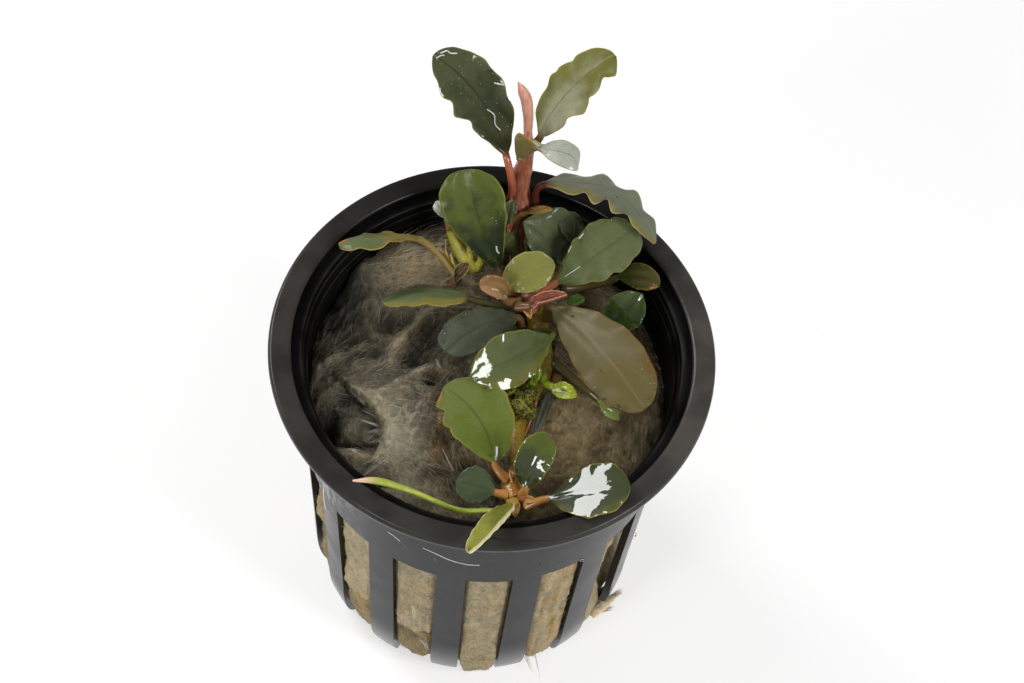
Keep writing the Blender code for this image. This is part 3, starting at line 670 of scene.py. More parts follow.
def wool_points():
    """Rings of points from the middle of the top, down the side and under to the middle."""
    turns = np.arange(WOOL_COLUMNS) / WOOL_COLUMNS * math.tau
    share = np.arange(1, WOOL_TOP_RINGS + 1)[:, None] / WOOL_TOP_RINGS
    radius = WOOL_REACH * share ** 0.85 * np.ones_like(turns)
    x, y = (radius * np.sin(turns)).ravel(), (-radius * np.cos(turns)).ravel()
    z, pale, brown = wool_top(x, y)
    ways, streaks = combed(x, y)
    edge_share = (share * np.ones_like(turns)).ravel()
    z = z - 1.6 * edge_share ** 14
    wisps = np.array([noise.fractal(Vector(place) * 1.9, 0.8, 2.2, 4) for place in zip(x, y, z)])
    z = z + 0.12 * wisps + 0.16 * streaks
    # Where the top meets the wall it is painted darker, as painted shade.
    pale = np.clip(pale + 0.06 * wisps + 0.20 * streaks, 0.03, 1) * (1 - 0.6 * edge_share ** 20)
    # Wells and the slick felt left of the torn edge bear few strands.
    slick = hump(x, y, (-17.0, -6.6), (2.6, 3.4)) * rises(from_line(x, y, TORN_EDGE), 0.2, 0.1)
    # Strands by the front wall would pierce the collar, and the lip hides them, so there are none.
    by_wall = rises(np.hypot(x, y), 19.2, 0.4) * rises(-y, 0.0, 1.0) * rises(x, -5.0, 1.0)
    fuzz = np.clip((pale - 0.08) / 0.14, 0, 1) * (1 - 0.85 * slick) * (1 - by_wall)
    rows = [np.stack([x, y, z, pale, brown, fuzz, 0 * x, ways[:, 0], ways[:, 1], 0 * x], 1)]
    edge = rows[0][-WOOL_COLUMNS:, 2]
    for ring in range(1, WOOL_SIDE_RINGS + 1):
        radius, z, pale, brown, fuzz = wool_side(turns, ring / WOOL_SIDE_RINGS, edge)
        x, y = radius * np.sin(turns), -radius * np.cos(turns)
        wisps = 0.008 * np.array([noise.fractal(Vector(place) * 2.3, 0.8, 2.2, 4)
                                  for place in zip(x, y, z)]) * (fuzz > 0.05)
        rows.append(np.stack([x * (1 + wisps), y * (1 + wisps), z, pale + 6 * wisps, brown, 0 * x,
                              fuzz, 0 * x, 0 * x, -1 + 0 * x], 1))
    return np.vstack(rows)


def add_wool(finish):
    """The plug as one closed mesh, with its marks for the finish and the strands."""
    rows = wool_points()
    rings = len(rows) // WOOL_COLUMNS
    faces = []
    for ring in range(rings - 1):
        low, high = ring * WOOL_COLUMNS, (ring + 1) * WOOL_COLUMNS
        faces += [(low + i, high + i, high + (i + 1) % WOOL_COLUMNS, low + (i + 1) % WOOL_COLUMNS)
                  for i in range(WOOL_COLUMNS)]
    middle, last = len(rows), (rings - 1) * WOOL_COLUMNS
    centre_top, centre_foot = rows[:WOOL_COLUMNS].mean(0), rows[last:].mean(0)
    rows = np.vstack([rows, centre_top, centre_foot])
    for i in range(WOOL_COLUMNS):
        j = (i + 1) % WOOL_COLUMNS
        faces.append((middle, i, j))
        faces.append((middle + 1, last + j, last + i))
    wool = make_piece("wool_plug", rows[:, :3], faces, finish)
    for i, name in enumerate(("pale", "brown", "fuzz_top", "fuzz_side")):
        store(wool, name, rows[:, 3 + i])
    store(wool, "comb", rows[:, 7:10], "FLOAT_VECTOR")
    print("wool triangles:", tri_count(wool))
    return settle(wool, "wool", "rock_wool")


# %% Wool finish, wet stone fibre felt
def felt_tone(tree, pale, brown):
    """The felt's colour: near black where it is wet and where shade is painted in its deep places,
    grey to tan where it is pale.
    """
    light = step(tree, "blend", brown, "#b4af98", "#b4965c")
    dark = step(tree, "blend", brown, "#14140f", "#1e160a")
    return step(tree, "blend", pale, dark, light)


def wool_finish():
    """Grey to tan felt, darker where it is wet and algal and where shade is painted, with fine
    crossed threads.
    """
    finish, tree, shader, place = new_finish("felted_rock_wool_wet", 0.8)
    pale = add_node(tree, "ShaderNodeAttribute", attribute_name="pale").outputs["Fac"]
    brown = add_node(tree, "ShaderNodeAttribute", attribute_name="brown").outputs["Fac"]
    threads = mottle(tree, place, 0.35, 4.0, 0.3, 0.7, (1.0, 0.5, 0.7))
    fine = mottle(tree, place, 0.1, 2.0, 0.25, 0.75)
    speck = step(tree, "add", step(tree, "multiply", threads, 0.45),
                 step(tree, "multiply", fine, 0.35), 0.45)
    pale = step(tree, "multiply", pale, speck)
    relief = step(tree, "add", threads, step(tree, "multiply", fine, 0.5))
    plug(tree, shader, {"Base Color": felt_tone(tree, pale, brown),
                        "Normal": step(tree, "bump", relief, 0.12 * MM)})
    return finish


wool = add_wool(wool_finish())

# %% [markdown]
# The loose strands repeat thousands of times, which is work for Geometry Nodes: points are strewn
# over the felt where a mark on it allows, a bent strand goes to each and is turned along the comb,
# and a noise then waves them all. The tree ends in Realize Instances and Set Material, and its
# result is baked to a plain mesh. The strands keep the felt's own marks, so each has the tone of
# its place.

# %% Strand tree
def strand_tree(finish):
    """A node tree that strews combed strands over a surface."""
    tree = bpy.data.node_groups.new("strew_strands", "GeometryNodeTree")
    face = tree.interface
    face.new_socket("Surface", in_out="INPUT", socket_type="NodeSocketGeometry")
    where = face.new_socket("Where", in_out="INPUT", socket_type="NodeSocketString")
    where.default_value = "fuzz_top"
    for label, value in (("Strands per square metre", 4e6), ("Length", 0.002), ("Thickness", 2e-5),
                         ("Lift", 0.1), ("Spread", 0.6), ("Wave", 0.0003)):
        face.new_socket(label, in_out="INPUT", socket_type="NodeSocketFloat").default_value = value
    face.new_socket("Seed", in_out="INPUT", socket_type="NodeSocketInt").default_value = 1
    face.new_socket("Strands", in_out="OUTPUT", socket_type="NodeSocketGeometry")
    given = add_node(tree, "NodeGroupInput").outputs
    fuzz = add_node(tree, "GeometryNodeInputNamedAttribute", {"Name": given["Where"]},
                    data_type="FLOAT")
    density = step(tree, "multiply", fuzz.outputs[0], given["Strands per square metre"])
    strewn = add_node(tree, "GeometryNodeDistributePointsOnFaces",
                      {"Mesh": given["Surface"], "Density": density, "Seed": given["Seed"]})
    comb = add_node(tree, "GeometryNodeInputNamedAttribute", {"Name": "comb"},
                    data_type="FLOAT_VECTOR")
    lie = add_node(tree, "FunctionNodeAxesToRotation",
                   {"Primary Axis": strewn.outputs["Normal"], "Secondary Axis": comb.outputs[0]})
    low = add_node(tree, "ShaderNodeCombineXYZ",
                   {"X": -0.15, "Y": -0.3, "Z": step(tree, "multiply", given["Spread"], -1.0)})
    high = add_node(tree, "ShaderNodeCombineXYZ", {"X": 0.15, "Y": 0.05, "Z": given["Spread"]})
    spin = add_node(tree, "FunctionNodeRandomValue",
                    {"Min": low.outputs[0], "Max": high.outputs[0], "Seed": given["Seed"]},
                    data_type="FLOAT_VECTOR")
    turned = add_node(tree, "FunctionNodeRotateRotation",
                      {"Rotation": lie.outputs[0], "Rotate By": spin.outputs[0]},
                      rotation_space="LOCAL")
    middle = add_node(tree, "ShaderNodeCombineXYZ",
                      {"X": step(tree, "multiply", given["Length"], 0.5),
                       "Z": step(tree, "multiply", given["Length"], given["Lift"])})
    end = add_node(tree, "ShaderNodeCombineXYZ", {"X": given["Length"]})
    strand = add_node(tree, "GeometryNodeCurveQuadraticBezier",
                      {"Resolution": 4, "Start": (0, 0, 0), "Middle": middle.outputs[0],
                       "End": end.outputs[0]})
    size = add_node(tree, "FunctionNodeRandomValue", {2: 0.35, 3: 1.0, "Seed": given["Seed"]})
    placed = add_node(tree, "GeometryNodeInstanceOnPoints",
                      {"Points": strewn.outputs[0], "Instance": strand.outputs[0],
                       "Rotation": turned.outputs[0], "Scale": size.outputs[1]})
    tint = add_node(tree, "FunctionNodeRandomValue", {2: 0.0, 3: 1.0, "Seed": 9})
    tinted = add_node(tree, "GeometryNodeStoreNamedAttribute",
                      {"Geometry": placed.outputs[0], "Name": "tint", "Value": tint.outputs[1]},
                      data_type="FLOAT", domain="INSTANCE")
    real = add_node(tree, "GeometryNodeRealizeInstances", {0: tinted.outputs[0]})
    swirl = add_node(tree, "ShaderNodeTexNoise", {"Scale": 700.0, "Detail": 1.0})
    centred = add_node(tree, "ShaderNodeVectorMath", {0: swirl.outputs["Color"],
                                                      1: (0.5, 0.5, 0.5)}, operation="SUBTRACT")
    waved = add_node(tree, "ShaderNodeVectorMath", {0: centred.outputs[0], "Scale": given["Wave"]},
                     operation="SCALE")
    moved = add_node(tree, "GeometryNodeSetPosition",
                     {"Geometry": real.outputs[0], "Offset": waved.outputs[0]})
    section = add_node(tree, "GeometryNodeCurvePrimitiveCircle",
                       {"Resolution": 3, "Radius": given["Thickness"]})
    along = add_node(tree, "GeometryNodeSplineParameter").outputs["Factor"]
    taper = step(tree, "subtract", 1.1, along)
    solid = add_node(tree, "GeometryNodeCurveToMesh", {"Curve": moved.outputs[0],
                                                       "Profile Curve": section.outputs[0],
                                                       "Scale": taper})
    painted = add_node(tree, "GeometryNodeSetMaterial", {0: solid.outputs[0], "Material": finish})
    add_node(tree, "NodeGroupOutput", {0: painted.outputs[0]})
    return tree


# %% Strand finish and baking
def strand_finish(name, painted_light=0.0):
    """Glassy single fibres, each paler or darker than its felt, and a few much paler as painted
    glints. The last argument paints them nearer white, as painted highlight and sheen, and as
    painted light on fibres in shade.
    """
    finish, tree, shader, place = new_finish(name, 0.35)
    pale, brown, tint = (add_node(tree, "ShaderNodeAttribute", attribute_name=mark).outputs["Fac"]
                         for mark in ("pale", "brown", "tint"))
    # The palest fifth of the strands are painted bright, as painted glints.
    pale = step(tree, "multiply", pale, step(tree, "spread", tint, 0.6, 1.0, 0.7, 2.3))
    glint = mottle(tree, place, 0.8, 2.0, 0.5, 0.8)
    pale = step(tree, "add", pale, step(tree, "multiply", glint, 0.1))
    # Strands are painted nearer white, as painted highlight and sheen.
    tone = step(tree, "blend", painted_light, felt_tone(tree, pale, brown), "#f2ede0")
    plug(tree, shader, {"Base Color": tone})
    return finish


def bake_tree(tree, surface, name, **values):
    """Run a node tree on a surface with named inputs, and keep the result as a plain piece."""
    bearer = bpy.data.objects.new(name + "_bearer", surface.data)
    scene.collection.objects.link(bearer)
    modifier = bearer.modifiers.new("strew", "NODES")
    modifier.node_group = tree
    sockets = {item.name: item.identifier for item in tree.interface.items_tree
               if item.in_out == "INPUT"}
    for label, value in values.items():
        modifier[sockets[label.replace("_", " ")]] = value
    graph = bpy.context.evaluated_depsgraph_get()
    mesh = bpy.data.meshes.new_from_object(bearer.evaluated_get(graph), depsgraph=graph)
    bearer.modifiers.remove(modifier)
    bpy.data.objects.remove(bearer)
    piece = bpy.data.objects.new(name, mesh)
    scene.collection.objects.link(piece)
    print(name, "triangles:", tri_count(piece))
    return piece


strands = strand_tree(strand_finish("loose_stone_fibres"))
# Silky strands are painted paler, as painted sheen.
silky_strands = strand_tree(strand_finish("silky_stone_fibres", 0.3))
NAPS = {
    "wool_nap_long": dict(Strands_per_square_metre=3.9e6, Length=0.0026, Thickness=1.8e-5,
                          Lift=0.03, Spread=0.45, Wave=0.0009, Seed=3),
    "wool_nap_fine": dict(Strands_per_square_metre=3.9e6, Length=0.0018, Thickness=1.4e-5,
                          Lift=0.08, Spread=0.9, Wave=0.0008, Seed=13),
    "wool_nap_short": dict(Strands_per_square_metre=3.9e6, Length=0.0015, Thickness=1.5e-5,
                           Lift=0.25, Spread=1.5, Wave=0.0004, Seed=5),
    "wool_nap_side": dict(Where="fuzz_side", Strands_per_square_metre=3.0e6, Length=0.0011,
                          Thickness=1.5e-5, Lift=0.06, Spread=3.1, Wave=0.0003, Seed=7),
}
WISPS = {
    "wool_wisps": dict(Strands_per_square_metre=8e5, Length=0.0048, Thickness=2.1e-5, Lift=0.06,
                       Spread=0.35, Wave=0.0012, Seed=21),
    "wool_wisps_side": dict(Where="fuzz_side", Strands_per_square_metre=6e5, Length=0.0013,
                            Thickness=1.8e-5, Lift=0.12, Spread=3.1, Wave=0.0004, Seed=23),
}
for tree, sorts in ((strands, NAPS), (silky_strands, WISPS)):
    for name, values in sorts.items():
        settle(bake_tree(tree, wool, name, **values), "wool")

# %% [markdown]
# Where the felt is torn, single fibres stick out of its edges and catch the light. They are few,
# and each tuft has a root and a tip of its own, so they are laid in a plain loop.

# %% Tufts of fibres at the torn edges
# A fibre is woven as rows of three points, at these turns round it.
FIBRE_ROWS = 7
FIBRE_TURNS = (0.0, 2.0944, 4.1888)
FIBRE_POINTS = FIBRE_ROWS * len(FIBRE_TURNS)


def lay_fibres(name, finish, tufts, thickness, seed, at_root, at_tip, **marks):
    """Tapered fibres. Each tuft: its root, its tip, how many fibres, and their spread, which is
    less or more at the root and at the tip."""
    dice = np.random.default_rng(seed)
    points, faces, tints = [], [], []
    for root, tip, fibres, spread in tufts:
        for _ in range(fibres):
            start = np.array(root, float) + dice.normal(0, spread * at_root, 3) * (1, 1, 0.4)
            end = np.array(tip, float) + dice.normal(0, spread * at_tip, 3) * (1, 1, 0.6)
            bend = (start + end) / 2 + dice.normal(0, spread * 0.4, 3)
            share = np.linspace(0, 1, FIBRE_ROWS)
            path, along = on_curve(start, bend, end, share)
            side = unit(np.cross(along, (0.3, 0.2, 0.93)))
            over = np.cross(side, along)
            reach = thickness * dice.uniform(0.6, 1.2) * (1.06 - share)
            first = len(points)
            for row in range(FIBRE_ROWS):
                for turn in FIBRE_TURNS:
                    points.append(path[row] + reach[row] * (side[row] * math.cos(turn)
                                                            + over[row] * math.sin(turn)))
            for row in range(FIBRE_ROWS - 1):
                low = first + 3 * row
                faces += [(low + k, low + 3 + k, low + 3 + (k + 1) % 3, low + (k + 1) % 3)
                          for k in range(3)]
            last = len(points) - 1
            faces += [(first, first + 1, first + 2), (last, last - 1, last - 2)]
            tints += [dice.uniform(0, 1)] * FIBRE_POINTS
    piece = make_piece(name, points, faces, finish)
    store(piece, "tint", tints)
    for label, value in marks.items():
        store(piece, label, [value] * len(points))
    print(name, "fibres:", len(points) // FIBRE_POINTS)
    return piece


# Each tuft: the plan places of its root and tip, how many fibres it has and their spread.
TUFTS = [((-14.8, -5.2), (-17.1, -3.6), 16, 0.16), ((-13.7, -6.4), (-15.2, -5.8), 9, 0.25),
         ((-12.7, -7.9), (-15.4, -7.5), 16, 0.20), ((-12.2, -8.6), (-14.1, -9.1), 12, 0.18),
         ((-12.4, -9.8), (-13.9, -10.4), 8, 0.25), ((-15.4, -12.1), (-18.8, -11.6), 18, 0.20),
         ((-13.2, -12.2), (-15.9, -11.1), 10, 0.22), ((-11.6, -13.0), (-14.2, -14.7), 14, 0.22),
         ((-12.0, -12.8), (-14.2, -13.5), 8, 0.20), ((-3.0, -12.3), (-4.7, -10.2), 12, 0.10),
         ((-8.0, 0.2), (-9.7, -0.6), 9, 0.22), ((-6.4, 0.4), (-7.0, 1.7), 7, 0.2),
         ((-20.4, -8.6), (-21.3, -6.7), 5, 0.08), ((-8.6, 8.2), (-10.2, 6.6), 7, 0.3)]
# Frays at the slots and the foot are given in space, in the same way.
FRAYS = [((18.0, -9.9, 4.2), (20.9, -8.3, 5.9), 90, 0.26),
         ((17.6, -10.6, 3.0), (19.8, -10.0, 4.2), 90, 0.30),
         ((10.2, -17.1, 2.6), (11.5, -19.7, 0.3), 5, 0.10),
         ((9.0, -17.3, 2.4), (10.2, -19.2, 1.0), 8, 0.25),
         ((-6.4, -21.2, 20.0), (-5.5, -22.6, 18.4), 6, 0.25),
         ((-4.6, -20.9, 9.2), (-3.6, -21.8, 8.3), 6, 0.3)]


def on_wool(place, lift):
    """A place in plan, as a point a little above the wool."""
    return (*place, float(wool_top(*place)[0][0]) + lift)


tufts = [(on_wool(root, 0.1), on_wool(tip, 0.55), fibres, spread)
         for root, tip, fibres, spread in TUFTS]
# Tufts are painted near white, as painted highlight, and frays pale, as painted light where they
# hang in the pot's shade.
settle(lay_fibres("wool_tufts", strand_finish("fibre_points_painted_white", 0.6), tufts, 0.03, 11, 1.3, 0.5,
                  pale=1.2, brown=0.1), "wool")
settle(lay_fibres("wool_frays", strand_finish("frayed_fibre_ends", 0.4), FRAYS, 0.05, 12, 0.8, 0.9,
                  pale=1.2, brown=0.6), "wool")
print("tufts:", len(TUFTS), "frays:", len(FRAYS))

# %% [markdown]
# A bucephalandra leaf is one sheet: a leathery blade with a sunk midrib above and a raised one
# below, margins that ripple, and a round petiole that widens where it clasps the stem. Every leaf
# is woven here as rings round its midrib, so that the petiole passes into the blade without a seam.
# Each point keeps its place on the blade (along, across, and upper or lower side), so that the
# finish can draw veins and margins that follow the leaf.

# %% Leaf shape
RING = 48
PETIOLE_ROWS = 16
BLADE_ROWS = 72
# How thick a blade and a petiole are, how many side veins a blade has and how they slant.
BLADE = 0.34
PETIOLE = 0.95
VEINS = 7.0
VEIN_SLANT = 2.6
VEIN_RELIEF = 0.008
# The midrib: its depth and width as a groove above and as a ridge below.
GROOVE = (0.15, 0.25)
RIDGE = (0.26, 0.34)
leaf_grids = {}


def leaf_rows(foot, base, tip, width, tilt, arch, sweep, belly, point, cup):
    """The leaf's midrib, directions and sizes, row by row from the stem to the tip."""
    foot, base, tip = (np.array(place, float) for place in (foot, base, tip))
    chord = unit(tip - base)
    right = unit(np.cross(chord, (0.0, 0.0, 1.0)))
    up = np.cross(right, chord)
    turn = math.radians(tilt)
    side = right * math.cos(turn) + up * math.sin(turn)
    face = up * math.cos(turn) - right * math.sin(turn)
    middle = (base + tip) / 2 + 2 * arch * face + 2 * sweep * side
    start = unit(middle - base)
    bend = base - start * np.linalg.norm(base - foot) * 0.5
    root = foot + unit(foot - bend) * 0.9
    stalk, stalk_along = on_curve(root, bend, base, np.linspace(0, 1, PETIOLE_ROWS + 1)[:-1])
    t = 0.5 - 0.5 * np.cos(np.pi * np.linspace(0, 1, BLADE_ROWS + 1))
    t = 0.5 * t + 0.5 * np.linspace(0, 1, BLADE_ROWS + 1)
    spine, along = on_curve(base, middle, tip, t)
    rise = point * belly / (1 - belly)
    outline = (t / belly) ** rise * ((1 - t) / (1 - belly)) ** point
    half = np.maximum(width / 2 * outline, PETIOLE / 2 * (1 - 4 * t))
    half = np.maximum(half, 0.10)
    clasp = 1 + 0.55 * np.linspace(1, 0, PETIOLE_ROWS) ** 2
    spine = np.vstack([stalk, spine])
    along = np.vstack([stalk_along, along])
    half = np.concatenate([PETIOLE / 2 * clasp, half])
    share = np.concatenate([np.linspace(-1, 0, PETIOLE_ROWS + 1)[:-1], t])
    bent = cup * np.clip(np.minimum(4 * share, half / 0.45), 0, 1)
    flat = unit(side - along * (along @ side)[:, None])
    return spine, flat, np.cross(flat, along), half, share, bent


def grow_leaf(name, finish, slot, foot, base, tip, width, tilt=0, arch=0.6, sweep=0.0, belly=0.58,
              point=0.6, cup=0.2, wave=0.0, waves=3, crisp=0.06, flip=False, bites=(), decay=(),
              seed=1, thick=BLADE, scallop=0.014, scallops=5, lump=0.10, nodes=None):
    """A leaf as one closed mesh. bites and decay are places: along, side or across, depth, size."""
    spine, flat, proud, half, share, bent = leaf_rows(foot, base, tip, width, tilt, arch, sweep,
                                                      belly, point, cup)
    turns = np.arange(RING) / RING * math.tau
    across = np.cos(turns)[None, :] * np.ones_like(share)[:, None]
    lift = np.sin(turns)[None, :]
    t = np.clip(share, 0, 1)[:, None]
    on_blade = np.clip(share * 8, 0, 1)[:, None]
    reach = half[:, None] * np.ones_like(across)
    ripple = np.sin(t * 19 + seed) + 0.6 * np.sin(t * 31 + 2 * seed + across)
    lobes = np.abs(np.sin(math.pi * scallops * t + seed + 0.9 * (across > 0))) - 0.6
    reach = reach * (1 + 0.014 * on_blade * ripple + scallop * on_blade * lobes)
    for at, bite_side, depth, size in bites:
        reach = reach * (1 - depth * np.exp(-((t - at) / size) ** 2) * (across * bite_side > 0))
    angle = bent[:, None] * across
    safe = np.where(np.abs(bent) < 1e-4, 1e-4, bent)[:, None]
    spread = np.sin(safe * across) / safe
    curl = (1 - np.cos(safe * across)) / safe
    ruffle = wave * np.abs(across) ** 3 * np.sin(np.pi * t)
    ruffle = ruffle * np.sin(math.tau * waves * t + 1.5 * across)
    ruffle = ruffle + crisp * across ** 6 * on_blade * np.sin(math.tau * 1.4 * (waves + 2) * t
                                                              + seed + 2 * across)
    ruffle = ruffle + lump * on_blade * np.sin(7 * t + 3 * across + seed) * np.sin(5 * across)
    centre = spine[:, None] + flat[:, None] * (reach * spread)[..., None]
    centre = centre + proud[:, None] * (reach * curl + ruffle)[..., None]
    outward = proud[:, None] * np.cos(angle)[..., None] - flat[:, None] * np.sin(angle)[..., None]
    depth = np.where(share < 0, PETIOLE * 0.92, thick + (PETIOLE * 0.92 - thick)
                     * np.exp(-np.clip(share, 0, 1) * 14))[:, None] / 2
    depth = np.minimum(depth, half[:, None] * 1.1)
    off_rib = across * reach
    turn_over = -1.0 if flip else 1.0
    groove = GROOVE[0] * np.exp(-(off_rib / GROOVE[1]) ** 2) * on_blade * (1 - t)
    ridge = RIDGE[0] * np.exp(-(off_rib / RIDGE[1]) ** 2) * on_blade * (1 - 0.8 * t)
    slant = math.tau * (VEINS * t - VEIN_SLANT * np.abs(across))
    veins = min(VEIN_RELIEF, 0.2 * lump) * np.sin(slant) * on_blade
    veins = veins * np.clip(1 - across ** 6, 0, 1)
    upper = lift * turn_over > 0
    relief = np.where(upper, turn_over * (veins - groove), -turn_over * (ridge + veins))
    height = lift * depth + relief * np.abs(lift)
    grid = centre + outward * height[..., None]
    leaf = close_rings(name + "_grown", grid, finish)
    marks = np.stack([share[:, None] * np.ones_like(across), across,
                      turn_over * lift * np.ones_like(across)], -1)
    marks = np.vstack([marks.reshape(-1, 3), (-1, 0, 0), (1, 0, 0)])
    store(leaf, "blade", marks, "FLOAT_VECTOR")
    rot = np.zeros(len(marks))
    for at, over, strength, size in decay:
        rot += strength * np.exp(-((marks[:, 0] - at) / size) ** 2
                                 - ((marks[:, 1] - over) / (3 * size)) ** 2)
    store(leaf, "decay", np.clip(rot, 0, 1))
    leaf_grids[name] = (grid, outward, share)
    return settle(leaf, slot, *([name] if nodes is None else nodes))


print("points round a leaf:", RING)

# %% [markdown]
# Leaf tissue is a translucent green layer under a waxy skin, and here a film of water lies on that
# skin. So the finish has a mottled base colour with paler veins, a duller underside, an
# orange-brown margin, a little light passing below the surface, and a clear coat with a fine wet
# ripple on it.

# %% Leaf finish
def leaf_finish(name, upper, far, lower, margin="#6f6030", stalk="#6a4a2a", rib="#3a3c20",
                rot="#a4602a", wet=0.4, film=0.06, rough=0.5, band=None, turn=(0.15, 0.95),
                veined=0.6, ripple=0.009):
    """Wet leaf tissue: colours near the foot and far from it, below, on margin, stalk and midrib.
    band is a colour for one side of the blade, and from where to where across it goes over."""
    finish, tree, shader, place = new_finish("living_leaf_" + name, rough, ior=1.36, coat=wet,
                                             coat_roughness=film)
    marks = add_node(tree, "ShaderNodeAttribute", attribute_name="blade").outputs["Vector"]
    along, across, side = add_node(tree, "ShaderNodeSeparateXYZ", {0: marks}).outputs
    off_rib = step(tree, "absolute", across)
    cloud = mottle(tree, place, 2.6, 3.0, 0.3, 0.7)
    grain = mottle(tree, place, 0.22, 3.0, 0.25, 0.75)
    drift = step(tree, "subtract", cloud, 0.5)
    shift = step(tree, "spread", step(tree, "add", along, step(tree, "multiply", drift, 0.7)),
                 *turn)
    skin = step(tree, "blend", step(tree, "spread", side, -0.15, 0.15), lower, upper)
    skin = step(tree, "blend", shift, skin, far)
    if band:
        tone, low, high = band
        wavy = step(tree, "add", across, step(tree, "multiply", drift, 0.3))
        share = step(tree, "multiply", step(tree, "spread", wavy, low, high), 0.85)
        skin = step(tree, "blend", share, skin, tone)
    phase = step(tree, "subtract", step(tree, "multiply", along, VEINS),
                 step(tree, "multiply", off_rib, VEIN_SLANT))
    crest = step(tree, "sine", step(tree, "multiply", phase, math.tau))
    side_veins = step(tree, "spread", crest, 0.5, 1.0, 0.0, 0.10 * veined)
    midrib = step(tree, "spread", off_rib, 0.012, 0.07, 0.75 * veined, 0.0)
    lines = step(tree, "maximum", side_veins, midrib)
    skin = step(tree, "blend", lines, skin, rib)
    skin = step(tree, "blend", step(tree, "spread", grain, 0.35, 1.0, 0.0, 0.22), skin, rib)
    edge = step(tree, "add", off_rib, step(tree, "multiply", grain, 0.03))
    skin = step(tree, "blend", step(tree, "spread", edge, 0.93, 0.99, 0.0, 0.85), skin, margin)
    skin = step(tree, "blend", step(tree, "spread", along, 0.07, -0.03), skin, stalk)
    mark = add_node(tree, "ShaderNodeAttribute", attribute_name="decay").outputs["Fac"]
    mark = step(tree, "spread", step(tree, "add", mark, step(tree, "multiply", grain, 0.25)), 0.35,
                0.75)
    skin = step(tree, "blend", mark, skin, rot)
    relief = step(tree, "add", step(tree, "multiply", grain, 0.5), cloud)
    # The water film lies smoother than the skin, and breaks along the veins.
    film_relief = step(tree, "add", mottle(tree, place, 1.4, 3.0, 0.3, 0.7),
                       step(tree, "multiply", lines, 0.6))
    plug(tree, shader, {
        "Base Color": skin, "Specular IOR Level": 0.2, "Coat IOR": 1.5 if wet > 0.9 else 1.4,
        "Subsurface Weight": 0.12, "Subsurface Radius": (0.6, 1.0, 0.3),
        "Subsurface Scale": 0.6 * MM, "Normal": step(tree, "bump", relief, 0.03 * MM),
        "Coat Normal": step(tree, "bump", film_relief, ripple * MM)})
    return finish


# %% [markdown]
# A stem is the same tissue without a blade's marks: round, smooth, and streaked along its length
# where its fibres run. So its finish needs only two tones, a fine grain and a coat of water.

# %% Stem finish
def stem_finish(name, main, other, wet=0.7, tip=None):
    """Smooth skin of a stem or young leaf, streaked along its length."""
    finish, tree, shader, place = new_finish("living_stem_" + name, 0.4, ior=1.42, coat=wet,
                                             coat_roughness=0.08)
    streak = mottle(tree, place, 0.5, 3.0, 0.3, 0.7, (1.0, 1.0, 0.25))
    grain = mottle(tree, place, 0.15, 2.0, 0.25, 0.75)
    tone = step(tree, "blend", streak, main, other)
    if tip:
        along = add_node(tree, "ShaderNodeAttribute", attribute_name="along").outputs["Fac"]
        tone = step(tree, "blend", step(tree, "spread", along, 0.72, 0.92), tone, tip)
    bump = step(tree, "bump", step(tree, "add", streak, grain), 0.03 * MM)
    plug(tree, shader, {"Base Color": tone, "Normal": bump, "Coat Normal": bump,
                        "Subsurface Weight": 0.2, "Subsurface Radius": (1.0, 0.5, 0.3),
                        "Subsurface Scale": 0.8 * MM})
    return finish


# %% [markdown]
# The stems are round and taper a little, with a ring where each old leaf sat. They are woven as
# tubes along a smooth curve through a few points, with a radius at each of these points.

# %% Stem shape
STEM_RING = 28


def smooth_path(points, radii, steps=10):
    """Points and radii along a Catmull-Rom curve through the given ones."""
    rows = np.hstack([np.array(points, float), np.array(radii, float)[:, None]])
    rows = np.vstack([2 * rows[0] - rows[1], rows, 2 * rows[-1] - rows[-2]])
    path = []
    for i in range(len(rows) - 3):
        p0, p1, p2, p3 = rows[i:i + 4]
        for t in np.arange(steps) / steps:
            path.append(0.5 * (2 * p1 + (p2 - p0) * t + (2 * p0 - 5 * p1 + 4 * p2 - p3) * t ** 2
                               + (3 * p1 - p0 - 3 * p2 + p3) * t ** 3))
    path.append(rows[-2])
    path = np.array(path)
    return path[:, :3], np.maximum(path[:, 3], 0.05)


def grow_stem(name, finish, slot, points, radii, rings=0, flatten=1.0, nodes=None, steps=10):
    """A round stem as one closed tube, with rings of old leaf scars."""
    path, sizes = smooth_path(points, radii, steps)
    along = unit(np.gradient(path, axis=0))
    side = unit(np.cross(along, (0.31, 0.17, 0.94)) + 1e-9)
    over = np.cross(side, along)
    place = np.linspace(0, 1, len(path))
    swell = 1 + 0.09 * np.maximum(0, np.sin(place * math.tau * rings)) ** 6 if rings else 1.0
    turns = np.arange(STEM_RING) / STEM_RING * math.tau
    lumps = 1 + 0.05 * np.sin(3 * turns[None, :] + 9 * place[:, None])
    reach = (sizes * swell)[:, None] * lumps
    grid = path[:, None] + side[:, None] * (reach * np.cos(turns))[..., None]
    grid = grid + over[:, None] * (reach * flatten * np.sin(turns))[..., None]
    tips = (path[0] - along[0] * sizes[0] * 0.5, path[-1] + along[-1] * sizes[-1] * 0.6)
    stem = close_rings(name + "_grown", grid, finish, tips)
    store(stem, "along", np.append(np.repeat(place, STEM_RING), (0, 1)))
    return settle(stem, slot, *([name] if nodes is None else nodes))


print("points round a stem:", STEM_RING)

# %% Stems and shoots
brown_skin = stem_finish("olive_brown", "#948820", "#7a4e18", wet=0.5)
pink_skin = stem_finish("pink_brown", "#84452c", "#b0745c")
rolled_skin = stem_finish("rolled_pink", "#b87a64", "#cf9c88", wet=0.3)
orange_skin = stem_finish("orange_brown", "#8a6220", "#b89248")
yellow_skin = stem_finish("yellow_green", "#857e18", "#a59c30")
lime_skin = stem_finish("lime", "#8a9c1a", "#a9b540", tip="#dcb8a0")
root_skin = stem_finish("orange_root", "#7a3a12", "#a85a20")

